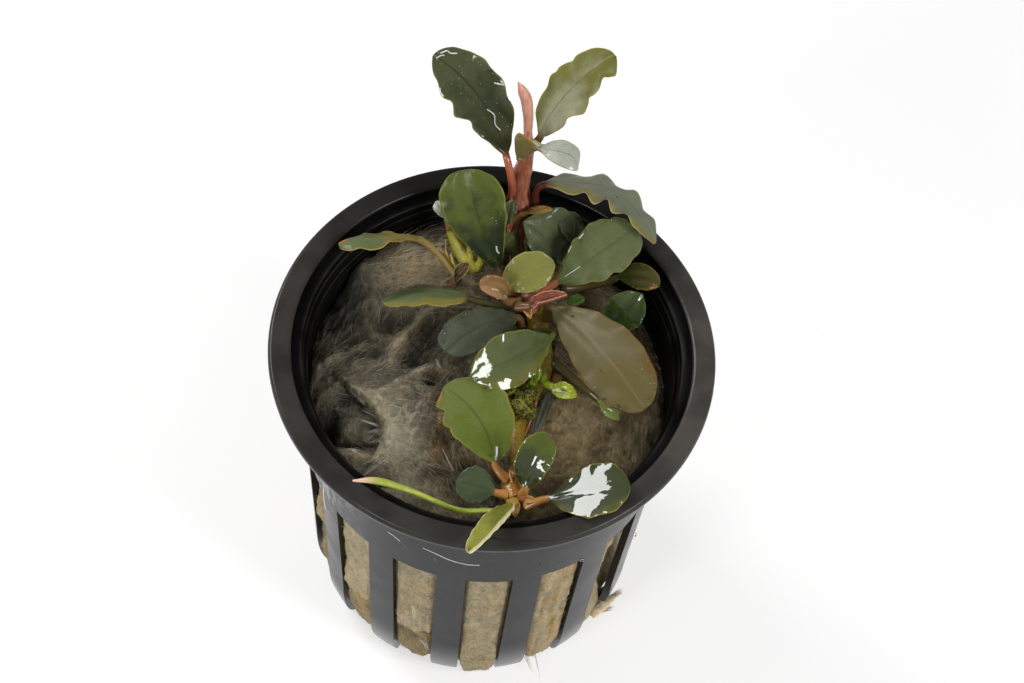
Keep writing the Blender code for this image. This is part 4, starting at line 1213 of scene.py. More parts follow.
grow_stem("rhizome", brown_skin, "rhizome", RHIZOME, [0.9, 0.9, 1.0, 1.2, 1.25, 1.25, 1.1], rings=7)
grow_stem("front_shoot", orange_skin, "rhizome", [(4.6, -12.3, 42.4), (4.7, -15, 43.5),
                                                  (4.7, -17.4, 45)], [1, 1.6, 1], rings=2)
grow_stem("middle_shoot", pink_skin, "stem", [(4.3, 9.7, 44.9), (3.8, 10, 46.2), (3.4, 10.2, 47.7)],
          [1.1, 1.1, 0.8])
grow_stem("back_shoot", pink_skin, "stem", [(1.4, 17.9, 45.6), (1.2, 20.5, 48), (0.9, 22.2, 51.6),
                                            (0.95, 22.7, 56.5), (1.3, 22.7, 60.5)],
          [1.4, 1.45, 1.3, 1.1, 0.8], rings=3)
grow_stem("left_shoot", yellow_skin, "lime_leaf", [(-3.6, 14, 45.5), (-5.6, 15.5, 46.8),
                                                   (-7.1, 17, 49.2)], [1.0, 0.85, 0.6], rings=2)
grow_stem("back_leaf_rolled", rolled_skin, "stem", [(1.7, 23.5, 59.8), (1, 24.3, 62.2),
                                                    (0.8, 24.5, 65), (0.4, 24.6, 68),
                                                    (-0.2, 24.8, 69.6), (-0.9, 25, 71)],
          [0.45, 0.55, 0.65, 0.72, 0.6, 0.08])
grow_stem("leaf_lime_stalk", lime_skin, "lime_leaf", [(2.2, -19.8, 45.2), (-1.8, -20.8, 46.2),
                                                      (-7.4, -20.3, 48.4), (-11.6, -20.8, 50.8),
                                                      (-14.4, -21.4, 51.3)],
          [0.3, 0.35, 0.35, 0.45, 0.12])
print("the rhizome runs through", len(RHIZOME), "points")

# %% [markdown]
# Stubs of old leaves, stipules and roots stand about the shoots. They are too thin for the solids,
# so they are grown here alone, each from a few points.

# %% Stubs and roots
# Each stub: its name, its skin, its points, and its radius at the first and at the last of them.
STUBS = [
    ("left_stub_upright", yellow_skin,
     [(-4.2, 14.6, 46.0), (-4.4, 15.6, 47.8), (-4.1, 16.2, 49.2)], 0.6, 0.35),
    ("left_stub_near", yellow_skin,
     [(-3.4, 14.0, 45.9), (-2.9, 14.4, 47.2), (-3.3, 14.9, 48.4)], 0.6, 0.3),
    ("left_stub_low", yellow_skin,
     [(-5.0, 13.6, 45.4), (-6.2, 13.8, 46.4), (-6.8, 14.6, 47.4)], 0.34, 0.12),
    ("left_stipule", orange_skin,
     [(-6.2, 13.9, 45.6), (-7.4, 14.9, 47.4), (-7.6, 15.8, 48.8)], 0.16, 0.03),
    ("root_orange", root_skin,
     [(6.1, -1.5, 42.2), (6.0, -3.0, 41.6), (5.6, -4.8, 41.2), (5.2, -6.2, 40.4)], 0.24, 0.14),
    ("root_side", root_skin,
     [(4.8, -8.2, 41.7), (5.6, -9.0, 41.6), (6.2, -10.2, 40.4)], 0.18, 0.1),
    ("root_left", root_skin,
     [(3.6, -10.4, 42.0), (2.6, -10.2, 42.0), (1.4, -11.2, 41.0)], 0.16, 0.08),
    ("root_wall", root_skin,
     [(-22.0, -7.6, 44.8), (-21.0, -9.6, 44.6), (-20.0, -11.4, 43.8), (-19.4, -12.2, 43.0)],
     0.3, 0.16),
    ("root_wall_bit", root_skin,
     [(-18.4, -13.0, 42.9), (-17.6, -13.7, 42.7), (-16.8, -14.2, 42.2)], 0.22, 0.08),
    ("shoot_stub_side", pink_skin,
     [(0.4, 22.6, 58.6), (0.2, 22.9, 61.0), (0.9, 23.9, 62.6)], 0.45, 0.25),
]
for name, finish, points, first, last in STUBS:
    grow_stem(name, finish, "stem", points, np.linspace(first, last, len(points)), nodes=())
print("stubs and roots:", len(STUBS))

# %% [markdown]
# Now each leaf gets its place, its shape and its own colours, from the tall shoot at the back to
# the rosette at the front. No two are alike: some show their upper side and some their lower, old
# ones are torn or brown at the edge, and young ones are bright.

# %% Back leaves
WET = dict(wet=1.0, film=0.02)
SATIN = dict(wet=0.15, film=0.3)


def add_leaf(name, slot, tones, skin, *places, **shape):
    """A leaf with a finish of its own. tones: its colour near its foot, far from it, below."""
    finish = leaf_finish(name.replace("leaf_", ""), *tones.split(), **skin)
    return grow_leaf(name, finish, slot, *places, **shape)


add_leaf("back_leaf_dark", "dark_leaf", "#333b1d #494e30 #5a5a3c",
         dict(stalk="#9a553c", rib="#15180c", wet=0.8, film=0.04, veined=0.7),
         (-0.1, 22.0, 51.2), (-1.3, 21.9, 59.8), (-11.7, 29.7, 68), 8.3, tilt=-3, sweep=1.4,
         point=0.61, cup=0.15, wave=0.35, waves=4, seed=2,
         bites=[(0.40, -1, 0.12, 0.05), (0.52, -1, -0.10, 0.05), (0.66, -1, 0.10, 0.05),
                (0.78, -1, -0.05, 0.05), (0.55, 1, 0.05, 0.04), (0.75, 1, 0.05, 0.05)],
         decay=[(1.0, 0, 1, 0.03)])
add_leaf("back_leaf_olive", "olive_leaf", "#6d6f45 #63632a #8c8c72",
         dict(margin="#8a7440", stalk="#7a5a34", rib="#5a5428", band=("#6a6a30", -0.2, -0.9),
              **SATIN),
         (2, 23.5, 60.8), (2.6, 24, 61.8), (10.5, 29.9, 72), 6.2, tilt=-6, sweep=-1, belly=0.56,
         point=0.5, cup=0.3, wave=0.5, flip=True, seed=3,
         bites=[(0.82, 1, 0.38, 0.05), (0.95, 1, -0.5, 0.04), (0.62, 1, 0.10, 0.04),
                (0.46, 1, -0.16, 0.06), (0.30, 1, 0.10, 0.05), (0.52, -1, 0.08, 0.03),
                (0.66, -1, 0.07, 0.03)], decay=[(0.84, 1, 0.6, 0.04)])
add_leaf("back_leaf_over_rim", "grey_leaf", "#686a5c #6f755f #80753c",
         dict(margin="#9a9078", stalk="#4c2218", band=("#786e32", 0.6, 0.85), veined=0.2, **SATIN),
         (2.9, 21.7, 51.6), (4, 22, 54.6), (18.3, 15.7, 53.8), 4.9, tilt=16, arch=1.4, sweep=-3.2,
         belly=0.45, cup=-0.3, wave=0.75, waves=4, seed=4, scallop=0.12, decay=[(1, 0, 1, 0.05)])
add_leaf("back_bract_arched", "dead_leaf", "#6e5628 #8c6c34 #8a6a35", dict(wet=0.3),
         (0.9, 18.8, 49.2), (1.6, 19.7, 50.7), (5.2, 20.5, 51.5), 1.3, arch=0.7, cup=-0.8)
print("leaves at the back shoot:", list(leaf_grids))

# %% [markdown]
# One back leaf is folded along its midrib, so that it shows its olive underside at the left and
# opens to a silver top at the right. Three points across it are known for each row, and a curve
# joins them.

# %% Folded leaf
FOLDED_LEAF = [
    ((0.5, 21.3, 60.4), (0.8, 21.3, 60.1), (1.1, 21.3, 60.5)),
    ((-0.5, 20.6, 64.8), (0.3, 21.1, 61.0), (0.8, 21.6, 63.4)),
    ((0.0, 20.6, 67.0), (1.1, 21.0, 61.7), (1.7, 22.0, 63.9)),
    ((1.5, 20.5, 65.3), (2.1, 21.1, 62.9), (2.9, 22.2, 62.8)),
    ((3.6, 20.4, 62.6), (4.0, 21.4, 62.8), (4.3, 22.6, 63.2)),
    ((5.3, 19.9, 61.9), (5.6, 21.4, 62.6), (6.0, 23.0, 63.0)),
    ((6.7, 19.8, 61.4), (6.9, 21.2, 62.1), (7.6, 22.4, 62.2)),
    ((7.5, 19.9, 61.2), (7.6, 20.0, 61.3), (7.7, 20.1, 61.4)),
]


def grow_folded(name, finish, slot, rows, thick, seed):
    """A sheet over rows of three points, with rippled margins and a closed edge."""
    lines = [smooth_path([row[i] for row in rows], [1.0] * len(rows), 8)[0] for i in range(3)]
    turns = np.arange(RING) / RING * math.tau
    c = np.cos(turns)[None, :, None]
    near, mid, far = (line[:, None] for line in lines)
    sheet = near * (c * c - c) / 2 + mid * (1 - c * c) + far * (c * c + c) / 2
    share = np.linspace(0, 1, len(lines[0]))[:, None]
    over = near * (2 * c - 1) / 2 - 2 * mid * c + far * (2 * c + 1) / 2
    proud = unit(np.cross(unit(over), unit(np.gradient(sheet, axis=0)) + 1e-9))
    ruffle = 0.22 * np.abs(c[..., 0]) ** 3 * np.sin(17 * share + seed + 2 * c[..., 0])
    ruffle = ruffle * np.sin(math.pi * share)
    sheet = sheet + proud * (ruffle + thick / 2 * np.sin(turns)[None, :])[..., None]
    piece = close_rings(name + "_grown", sheet, finish)
    marks = np.stack([share * np.ones_like(ruffle), c[..., 0] * np.ones_like(share),
                      -np.sin(turns)[None, :] * np.ones_like(share)], -1)
    store(piece, "blade", np.vstack([marks.reshape(-1, 3), (0, 0, 0), (1, 0, 0)]), "FLOAT_VECTOR")
    store(piece, "decay", np.zeros(len(marks.reshape(-1, 3)) + 2))
    leaf_grids[name] = (sheet, proud, share[:, 0])
    return settle(piece, slot, name)


grow_folded("back_leaf_folded", leaf_finish("folded", "#b8baae", "#a0a496", "#6a6038",
                                            margin="#9a7840", stalk="#8a5a3c", wet=0.7, film=0.12),
            "grey_leaf", FOLDED_LEAF, BLADE, 5)
print("rows along the folded leaf:", len(leaf_grids["back_leaf_folded"][2]))

# %% Leaves of the middle crown
add_leaf("leaf_round", "green_leaf", "#222d18 #4f5a20 #7a7c4a",
         dict(margin="#6a6a2c", rib="#2a3414", wet=0.2, film=0.15),
         (1, 12.6, 45.6), (-0.3, 13.1, 47.5), (-5.6, 21.2, 57), 9, tilt=44, sweep=-0.5, belly=0.7,
         point=0.42, cup=0.25, seed=5, decay=[(0.99, 0.3, 0.9, 0.03)],
         bites=[(0.97, 0.3, 0.1, 0.02), (0.35, -1, 0.06, 0.06)])
add_leaf("leaf_dark_olive", "dark_leaf", "#3a4324 #525a3c #6a6a44",
         dict(margin="#474a30", wet=0.35),
         (5, 14.2, 44.8), (6.9, 15.6, 46), (1.8, 18.2, 51.4), 5.2, tilt=8, arch=0.4, sweep=0.6,
         belly=0.5, point=0.8, seed=6, wave=0.2, bites=[(0.55, 1, -0.95, 0.42)])
add_leaf("leaf_grey_behind", "grey_leaf", "#3d4420 #4b513c #80753c",
         dict(margin="#4a4c34", wet=0.25),
         (4.6, 17.8, 45.2), (9.3, 18.9, 46.6), (6.6, 21.0, 49.9), 4.0, tilt=-10, arch=0.4,
         belly=0.6, point=0.5, seed=7)
add_leaf("leaf_large_grey", "grey_leaf", "#525a34 #626b46 #80753c",
         dict(margin="#6c6a38", rib="#353d20", stalk="#9a5a40", wet=0.06, film=0.2, veined=0.35),
         (5.2, 11.2, 46.2), (6.8, 12.2, 47.6), (15.9, 18.2, 53), 7.7, tilt=-4, arch=0.8, sweep=0.4,
         belly=0.65, point=0.46, cup=0.3, wave=0.3, waves=4, seed=8, scallop=0.03, scallops=4,
         bites=[(0.84, -1, 0.10, 0.04), (0.34, 1, 0.10, 0.04), (0.46, 1, -0.07, 0.04),
                (0.57, 1, 0.07, 0.03)], decay=[(0.3, 1, 0.3, 0.05), (0.52, 1, 0.25, 0.03)])
add_leaf("leaf_olive_right", "olive_leaf", "#3e421e #48451a #80753c",
         dict(margin="#76602a", stalk="#453a1c", wet=0.3),
         (8.4, 13.4, 44.9), (14.2, 14.6, 46.6), (19.6, 11.8, 50.4), 3.3, tilt=-39, arch=0.8,
         sweep=-0.8, belly=0.64, seed=9, decay=[(0.95, 0.7, 0.9, 0.08)])
add_leaf("leaf_small_glossy", "dark_leaf", "#2a3a18 #3c4c14 #5a6a3c",
         dict(margin="#4f5c24", stalk="#3c3a1c", rib="#1c2a10", **WET),
         (8, 7.2, 42.6), (13.4, 8.5, 43.6), (17.8, 12.1, 47.6), 5, tilt=-29, arch=0.8, belly=0.57,
         point=0.8, cup=0.3, seed=10)
add_leaf("leaf_yellow", "green_leaf", "#73733a #7c7c3c #8a8a48",
         dict(margin="#8f8f50", veined=0.15),
         (1.9, 10.9, 46.6), (0.4, 10.2, 48), (6.4, 12.8, 50.4), 5.1, tilt=-32, arch=0.8, sweep=-0.6,
         belly=0.55, seed=11)
add_leaf("leaf_tan_young", "dead_leaf", "#6a5230 #83673f #9a7d58",
         dict(rib="#6a2c1c", margin="#8a4a34", band=("#947652", 0.1, -0.5)),
         (1.8, 8.5, 47.5), (0.6, 8.4, 48.6), (-2.6, 8.8, 50), 3, tilt=40, arch=0.5, sweep=0.9,
         belly=0.5, point=0.4, cup=0.7, seed=12)
add_leaf("leaf_narrow_left", "grey_leaf", "#54603e #5e6a46 #8a8240",
         dict(margin="#8a7a38", stalk="#3f3c22", rib="#3a4628", band=("#7a7030", -0.5, -0.75)),
         (1.9, 9.4, 44.9), (-4, 9, 46.5), (-14.4, 6.1, 47.4), 5.6, tilt=-31, arch=1, sweep=0.5,
         belly=0.42, point=0.53, cup=-0.5, wave=0.12, crisp=0.03, seed=13)
add_leaf("leaf_slate", "dark_leaf", "#3e4132 #4a5142 #5a5a44",
         dict(margin="#4a4c38", rib="#2a2d22", wet=0.25, film=0.15),
         (3, 8, 44.4), (2.4, 7.6, 45.6), (-5.8, 0.3, 47.3), 5.7, tilt=-1, arch=0.8, sweep=0.6,
         belly=0.62, point=0.36, seed=14, scallop=0.03)
add_leaf("leaf_white_gloss", "dark_leaf", "#434e22 #525c28 #6a6a34",
         dict(margin="#6c6a24", rib="#2a3414", stalk="#4c461c", band=("#65621e", -0.25, -0.8),
              **WET),
         (5.4, 6.6, 44.2), (7.2, 4.8, 46.8), (-2.3, -3.9, 49.1), 6.8, tilt=35, sweep=-0.2,
         point=0.69, cup=0.1, wave=0.15, waves=4, seed=15, lump=0.04)
add_leaf("leaf_large_olive", "olive_leaf", "#5a5c36 #59512c #5f583c",
         dict(margin="#6e4e24", stalk="#5a4a22", rib="#6e6240", rot="#604a26", **SATIN),
         (6.2, 9, 44.9), (6.7, 8.7, 47.2), (19.2, -6.4, 50.6), 8.4, tilt=-28, arch=1, sweep=-1,
         belly=0.63, point=0.49, cup=-0.2, wave=0.25, waves=5, flip=True, seed=16, scallop=0.02,
         bites=[(0.93, 1, 0.10, 0.05)], decay=[(0.8, -0.95, 0.7, 0.11), (0.3, 1, 0.35, 0.05),
                                               (0.97, 0.2, 0.4, 0.03)])
add_leaf("leaf_pink_sheath", "stem", "#6a3a28 #935c48 #7a4432",
         dict(margin="#c08a78", rib="#6a3424", wet=0.5),
         (3, 7.8, 48), (3.9, 7.8, 48.4), (8.3, 9.3, 49.7), 2.5, arch=0.3, belly=0.4, cup=1.9)
add_leaf("leaf_dark_centre", "dark_leaf", "#33391a #454d1c #5a5a30", {},
         (1.2, 15.2, 46.2), (1, 15.8, 46.8), (0.2, 17.7, 49.3), 2.4, tilt=-12, arch=0.3, belly=0.65,
         point=0.4)
add_leaf("leaf_dark_behind", "dark_leaf", "#2c3318 #323a1c #5a5a30", {},
         (2.9, 15.2, 45.8), (3.7, 15.6, 46.6), (2.8, 18.3, 49.2), 1.8, tilt=10, arch=0.3, belly=0.6)
add_leaf("leaf_small_centre", "dark_leaf", "#525c40 #5c664a #5a5a44", {},
         (-1, 18.2, 46.8), (-0.8, 18.8, 48.6), (0.3, 20.1, 53), 2, tilt=-21, arch=0.3, belly=0.6,
         wave=0.15)
print("leaves so far:", len(leaf_grids))

# %% Small leaves at the rhizome
add_leaf("leaf_lime_small", "lime_leaf", "#7c861a #98a422 #9aa83a",
         dict(margin="#c2cc40", stalk="#7a8a1c", rot="#4c5a20", wet=0.7, film=0.03),
         (6.8, 0.8, 42.6), (7.9, -1.3, 44.8), (11, -2.8, 45.8), 2.1, tilt=-19, arch=0.3, belly=0.45,
         decay=[(0.5, 0.2, 0.8, 0.14)])
add_leaf("leaf_green_sprout", "lime_leaf", "#6a8420 #8aa22c #6f8a2c",
         dict(stalk="#6a7a1c", wet=0.8, film=0.03),
         (5.2, -0.2, 42.2), (5.5, -0.3, 43.6), (6, 0.9, 45.5), 1.4, arch=0.3)
add_leaf("leaf_on_wool", "dark_leaf", "#4c4c40 #525448 #3e4136", {},
         (8.3, 1.9, 40.9), (8.1, 0.9, 41), (6.3, -5.6, 40.2), 1.6, tilt=10, arch=0.3)
add_leaf("leaf_green_tip", "green_leaf", "#74823c #8a9850 #6f8a3c",
         dict(stalk="#4a4420", wet=0.9, film=0.03),
         (8.4, 3.8, 41.4), (14, -0.8, 41.9), (16.5, -3.7, 42.6), 1.9, arch=0.2)
add_leaf("leaf_green_bit", "green_leaf", "#3f5a20 #4a6a28 #4f6a2c", dict(stalk="#5a4a2a"),
         (6.9, 10.2, 43.8), (8.4, 11.5, 44.4), (10.7, 11.8, 45.2), 1.6, arch=0.2)
print("leaves so far:", len(leaf_grids))

# %% Front rosette
add_leaf("leaf_bright_front", "green_leaf", "#596620 #636c36 #7a8048",
         dict(margin="#7c7430", stalk="#9a6a34", rib="#2c4208", wet=0.7, film=0.08),
         (3.1, -15, 45.4), (2, -13.8, 45.9), (-5.4, -4.6, 46.9), 8.6, tilt=2, sweep=1.3, belly=0.55,
         point=0.62, cup=0.3, seed=20, bites=[(0.80, -1, 0.22, 0.05), (0.93, -1, -0.35, 0.05),
                                              (0.55, -1, 0.07, 0.04), (0.62, 1, 0.05, 0.03),
                                              (0.7, 1, -0.14, 0.2)],
         decay=[(0.97, -0.8, 1.2, 0.05), (0.2, 1, 0.6, 0.05)])
add_leaf("leaf_upright_front", "dark_leaf", "#26300f #4a5412 #6a6a34",
         dict(margin="#6f7030", stalk="#a8763c", rib="#3a4214", ripple=0.003, **WET),
         (5.9, -17.3, 46.2), (6, -17, 46.8), (8.2, -12.4, 51.6), 4.5, tilt=-2, arch=0.5, sweep=-0.5,
         point=0.38, cup=0.32, seed=21, lump=0.012)
add_leaf("leaf_round_dark", "dark_leaf", "#414d33 #3f4a2f #5a5a34",
         dict(margin="#4a4c2c", stalk="#a8763c", rib="#28301c"),
         (3.1, -17.4, 45.2), (2.4, -17.4, 45.4), (-2.4, -16.8, 45.8), 4.8, tilt=7, arch=0.4,
         belly=0.55, cup=0.25, seed=22)
add_leaf("leaf_gloss_front", "dark_leaf", "#202c0b #2c360c #6a6a34",
         dict(margin="#6f6820", stalk="#a8763c", rib="#1f2810", band=("#4f4f16", 0.5, 0.95),
              ripple=0.006, **WET),
         (6.9, -18.5, 45.8), (8.9, -18.4, 47.3), (18.2, -17.7, 52), 7.7, tilt=4, sweep=0.5,
         belly=0.64, cup=0.13, wave=0.12, seed=23, lump=0.02)
add_leaf("leaf_over_front_rim", "green_leaf", "#62651a #8a8a34 #c8b890",
         dict(margin="#cfc49c", stalk="#a8863c", rib="#7a7a34", band=("#cdc198", -0.5, -0.7),
              wet=0.5),
         (4.7, -18.7, 46), (4.5, -21, 49.6), (0.2, -30, 53.2), 2.9, tilt=-21, arch=0.8, sweep=-0.4,
         belly=0.53, point=0.4, cup=0.5, seed=24)
add_leaf("leaf_pale_left", "grey_leaf", "#a2a896 #b0b6a4 #9ca294", dict(film=0.3),
         (-7.5, 17.7, 49.8), (-7.8, 18.1, 50.1), (-9.5, 19.8, 50.9), 2, arch=0.3)
add_leaf("leaf_left_back", "grey_leaf", "#7a6a38 #525e38 #8a6a40",
         dict(margin="#9a8038", rot="#b8661a", stalk="#8a7644", rib="#6e6236", turn=(0.35, 0.65),
              wet=0.2),
         (-6.3, 13.2, 45.6), (-11, 15.6, 48.4), (-20.6, 11.4, 51.2), 5.2, tilt=-35, arch=1.2,
         sweep=-1.4, belly=0.62, point=0.5, cup=-0.3, seed=25, decay=[(1.0, 0.4, 1, 0.10)],
         wave=0.3, bites=[(0.28, -1, 0.6, 0.2), (0.6, -1, -0.12, 0.1)])
add_leaf("bract_dead_left", "dead_leaf", "#33200c #463010 #463010",
         dict(rib="#7a6a4a", margin="#aa9a70", wet=0.2),
         (-6, 11.7, 45.2), (-5.8, 12, 45.6), (-4.4, 13.6, 47.3), 1.8, arch=0.3, cup=0.8)
print("leaves so far:", len(leaf_grids))

# %% [markdown]
# Each rosette stands in a ring of short papery sheaths, the remains of older leaves. They are tiny
# leaves themselves, so the same function grows them.

# %% Sheaths at the crowns
sheath_skin = leaf_finish("sheath", "#8c5a26", "#b98c50", "#9a6a34", margin="#c8a468",
                          stalk="#8a5a24", rib="#7a4a1c", wet=0.6)
SHEATHS = [
    ("front_low", (4.8, -18.0, 45.2), (4.9, -18.5, 45.7), (5.2, -20.4, 45.2), 1.3, 0),
    ("front_right", (5.4, -17.8, 45.3), (6.0, -18.1, 45.9), (7.6, -18.5, 46.4), 1.1, -15),
    ("front_back", (4.9, -16.6, 45.6), (4.5, -15.9, 46.2), (3.8, -15.0, 47.0), 0.9, 0),
    ("middle_low", (3.6, 8.9, 46.6), (3.4, 8.0, 47.2), (4.2, 6.4, 47.6), 1.2, 0),
    ("middle_right", (4.4, 9.6, 46.4), (5.4, 9.8, 47.0), (7.2, 10.6, 48.2), 1.0, -20),
    ("back_low", (1.0, 20.6, 49.0), (0.4, 21.2, 50.2), (-0.2, 21.6, 52.2), 1.1, 10),
]
for place, foot, base, tip, width, tilt in SHEATHS:
    grow_leaf("sheath_" + place, sheath_skin, "dead_leaf", foot, base, tip, width, tilt=tilt,
              arch=0.25, belly=0.35, point=1.0, cup=0.9, seed=len(place), nodes=())
print("leaves grown:", len(leaf_grids))

# %% [markdown]
# At the foot a shred of felt hangs out of a slot. It is a flat tapered strip, which the function
# for stems can grow as well.

# %% A shred of felt at the foot
# The shred is painted much paler than the felt, as painted light, since it hangs in the pot's
# shade.
shred_skin = stem_finish("felt_shred", "#f0e2c4", "#d2bc90", wet=0.0)
grow_stem("wool_shred", shred_skin, "wool", [(17.4, -10.8, 3.0), (18.9, -9.9, 4.0),
                                             (20.0, -9.0, 4.9), (20.7, -8.5, 5.7)],
          [0.7, 0.5, 0.3, 0.1], flatten=0.5, nodes=())

# %% [markdown]
# Moss and algae cover the rhizome between the crowns. The clump has a lumpy core, with a hole where
# the stem shows, and small leaflets all over it. Leaflets and water drops are copies of one small
# shape at given places, so one node tree sets both: it reads each place's direction and size.

# %% Copies at places
def copies_tree(name, finish, kind, shape):
    """A node tree that sets a small shape at each point, turned and scaled by the point's marks."""
    tree = bpy.data.node_groups.new(name, "GeometryNodeTree")
    face = tree.interface
    face.new_socket("Places", in_out="INPUT", socket_type="NodeSocketGeometry")
    face.new_socket("Scale", in_out="INPUT", socket_type="NodeSocketFloat").default_value = 1.0
    face.new_socket("Copies", in_out="OUTPUT", socket_type="NodeSocketGeometry")
    given = add_node(tree, "NodeGroupInput").outputs
    proud, size = (add_node(tree, "GeometryNodeInputNamedAttribute", {"Name": label},
                            data_type="FLOAT_VECTOR").outputs[0] for label in ("proud", "size"))
    points = add_node(tree, "GeometryNodeMeshToPoints", {"Mesh": given["Places"]})
    turned = add_node(tree, "FunctionNodeAlignRotationToVector", {"Vector": proud})
    scaled = add_node(tree, "ShaderNodeVectorMath", {0: size, "Scale": given["Scale"]},
                      operation="SCALE")
    small = add_node(tree, kind, shape)
    placed = add_node(tree, "GeometryNodeInstanceOnPoints",
                      {"Points": points.outputs[0], "Instance": small.outputs["Mesh"],
                       "Rotation": turned.outputs[0], "Scale": scaled.outputs[0]})
    real = add_node(tree, "GeometryNodeRealizeInstances", {0: placed.outputs[0]})
    smooth = add_node(tree, "GeometryNodeSetShadeSmooth", {"Geometry": real.outputs[0]})
    painted = add_node(tree, "GeometryNodeSetMaterial", {0: smooth.outputs[0], "Material": finish})
    add_node(tree, "NodeGroupOutput", {0: painted.outputs[0]})
    return tree


def set_copies(name, tree, places, directions, sizes):
    """Bake copies at places in millimetres, with a direction and three sizes each."""
    marks = make_piece(name + "_places", places, [])
    store(marks, "proud", directions, "FLOAT_VECTOR")
    store(marks, "size", sizes, "FLOAT_VECTOR")
    piece = bake_tree(tree, marks, name, Scale=1.0)
    bpy.data.objects.remove(marks)
    return piece


# %% Moss clump
def moss_finish():
    """Wet moss and algae, yellow-green at the tips and dark brown between them."""
    finish, tree, shader, place = new_finish("wet_moss", 0.5, ior=1.38, coat=0.4,
                                             coat_roughness=0.06)
    cloud = mottle(tree, place, 0.8, 3.0, 0.42, 0.6)
    fine = mottle(tree, place, 0.25, 3.0, 0.3, 0.7)
    tone = step(tree, "blend", cloud, "#1c1805", "#86861a")
    tone = step(tree, "blend", step(tree, "spread", fine, 0.3, 1.0, 0.0, 0.5), tone, "#a0a024")
    bump = step(tree, "bump", step(tree, "add", cloud, fine), 0.1 * MM)
    plug(tree, shader, {"Base Color": tone, "Normal": bump, "Coat Normal": bump})
    return finish


# Each lump of the core: its middle and its three radii.
MOSS = [((4.2, -2.9, 42.5), (1.5, 1.5, 0.9)), ((3.2, -1.9, 42.3), (1.0, 0.9, 0.9)),
        ((5.2, -1.7, 42.7), (0.9, 0.8, 0.8)), ((5.1, -3.8, 42.1), (1.0, 0.9, 0.8)),
        ((3.3, -3.9, 42.0), (0.8, 0.7, 0.7))]
MOSS_HOLE = (3.1, -2.1)
LEAFLETS = 520


def grow_moss(finish):
    """Lumpy blobs run together, with a hole pressed in."""
    bm = bmesh.new()
    for centre, radii in MOSS:
        blob = bmesh.ops.create_icosphere(bm, subdivisions=4, radius=1.0)["verts"]
        for vert in blob:
            lump = 1 + 0.30 * noise.fractal(vert.co * 1.8 + Vector(centre), 0.9, 2.1, 4)
            place = Vector([c + r * v * lump for c, r, v in zip(centre, radii, vert.co)])
            hole = math.exp(-((place.x - MOSS_HOLE[0]) / 0.55) ** 2
                            - ((place.y - MOSS_HOLE[1]) / 0.5) ** 2)
            place.z -= 1.3 * hole
            vert.co = place * MM
    mesh = bpy.data.meshes.new("moss_core")
    bm.to_mesh(mesh)
    bm.free()
    mesh.shade_smooth()
    mesh.materials.append(finish)
    core = bpy.data.objects.new("moss_core", mesh)
    scene.collection.objects.link(core)
    settle(core, "moss", "moss_tuft")
    dice = np.random.default_rng(31)
    picked = [mesh.vertices[i] for i in dice.choice(len(mesh.vertices), LEAFLETS, replace=False)]
    picked = [vert for vert in picked if vert.normal.z > -0.2]
    places = np.array([vert.co for vert in picked]) / MM
    ways = unit(np.array([vert.normal for vert in picked]) + dice.normal(0, 0.5, (len(picked), 3)))
    size = dice.uniform(0.4, 1.0, (len(picked), 1)) * (1.0, 0.4, 1.0)
    tree = copies_tree("set_leaflets", finish, "GeometryNodeMeshCone",
                       {"Vertices": 5, "Radius Top": 0.0, "Radius Bottom": 0.16 * MM,
                        "Depth": 0.75 * MM})
    return settle(set_copies("moss_leaflets", tree, places, ways, size), "moss")


grow_moss(moss_finish())
print("lumps of moss:", len(MOSS))

# %% [markdown]
# The plant has just come out of the water. Drops hang at leaf edges and on the pot's wall, thin
# streaks of water run over the tallest leaf, and a seam of water lies where the wool meets the
# wall. Drops are copies on the leaves' own surfaces, so they sit where the grown leaf is.

# %% Drops
def on_leaf(name, along, across):
    """A place on a leaf's upper side in millimetres, and the way that it faces."""
    grid, outward, share = leaf_grids[name]
    row = int(np.argmin(np.abs(share - along)))
    spot = int(round(math.acos(across) / math.tau * RING)) % RING
    return grid[row, spot], outward[row, spot]


def water_finish(name, milky):
    """Clear water, or a thin film painted milky white: painted glints where it lies on leaves,
    dried water where it lies on the pot.
    """
    finish, tree, shader, place = new_finish(name, 0.0, ior=1.33)
    ripple = mottle(tree, place, 0.3, 1.0)
    plug(tree, shader, {"Base Color": "#f4f8f4", "Transmission Weight": 1 - milky,
                        "Normal": step(tree, "bump", ripple, 0.01 * MM)})
    return finish


# Each drop: the leaf, how far along it and across it, and the drop's radius in mm.
DROPS = [("leaf_white_gloss", 0.96, -0.5, 0.34), ("leaf_white_gloss", 0.90, -0.9, 0.26),
         ("leaf_slate", 0.20, -0.2, 0.20), ("leaf_slate", 0.12, 0.2, 0.24),
         ("leaf_slate", 0.93, 0.5, 0.2), ("leaf_large_olive", 0.18, -0.3, 0.22),
         ("leaf_large_olive", 0.62, 0.35, 0.2), ("leaf_large_olive", 0.97, -0.7, 0.3),
         ("leaf_large_olive", 0.93, -0.97, 0.24), ("leaf_large_grey", 0.86, -0.9, 0.26),
         ("leaf_large_grey", 0.05, 0.3, 0.2), ("leaf_bright_front", 0.04, 0.3, 0.4),
         ("leaf_bright_front", 0.08, -0.3, 0.22), ("back_leaf_folded", 0.95, 0.2, 0.25),
         ("back_leaf_over_rim", 0.55, 0.3, 0.14), ("leaf_over_front_rim", 0.97, 0.0, 0.2),
         ("leaf_gloss_front", 0.97, 0.6, 0.18), ("leaf_round", 0.12, 0.4, 0.22),
         ("leaf_green_tip", 0.5, 0.2, 0.2)]
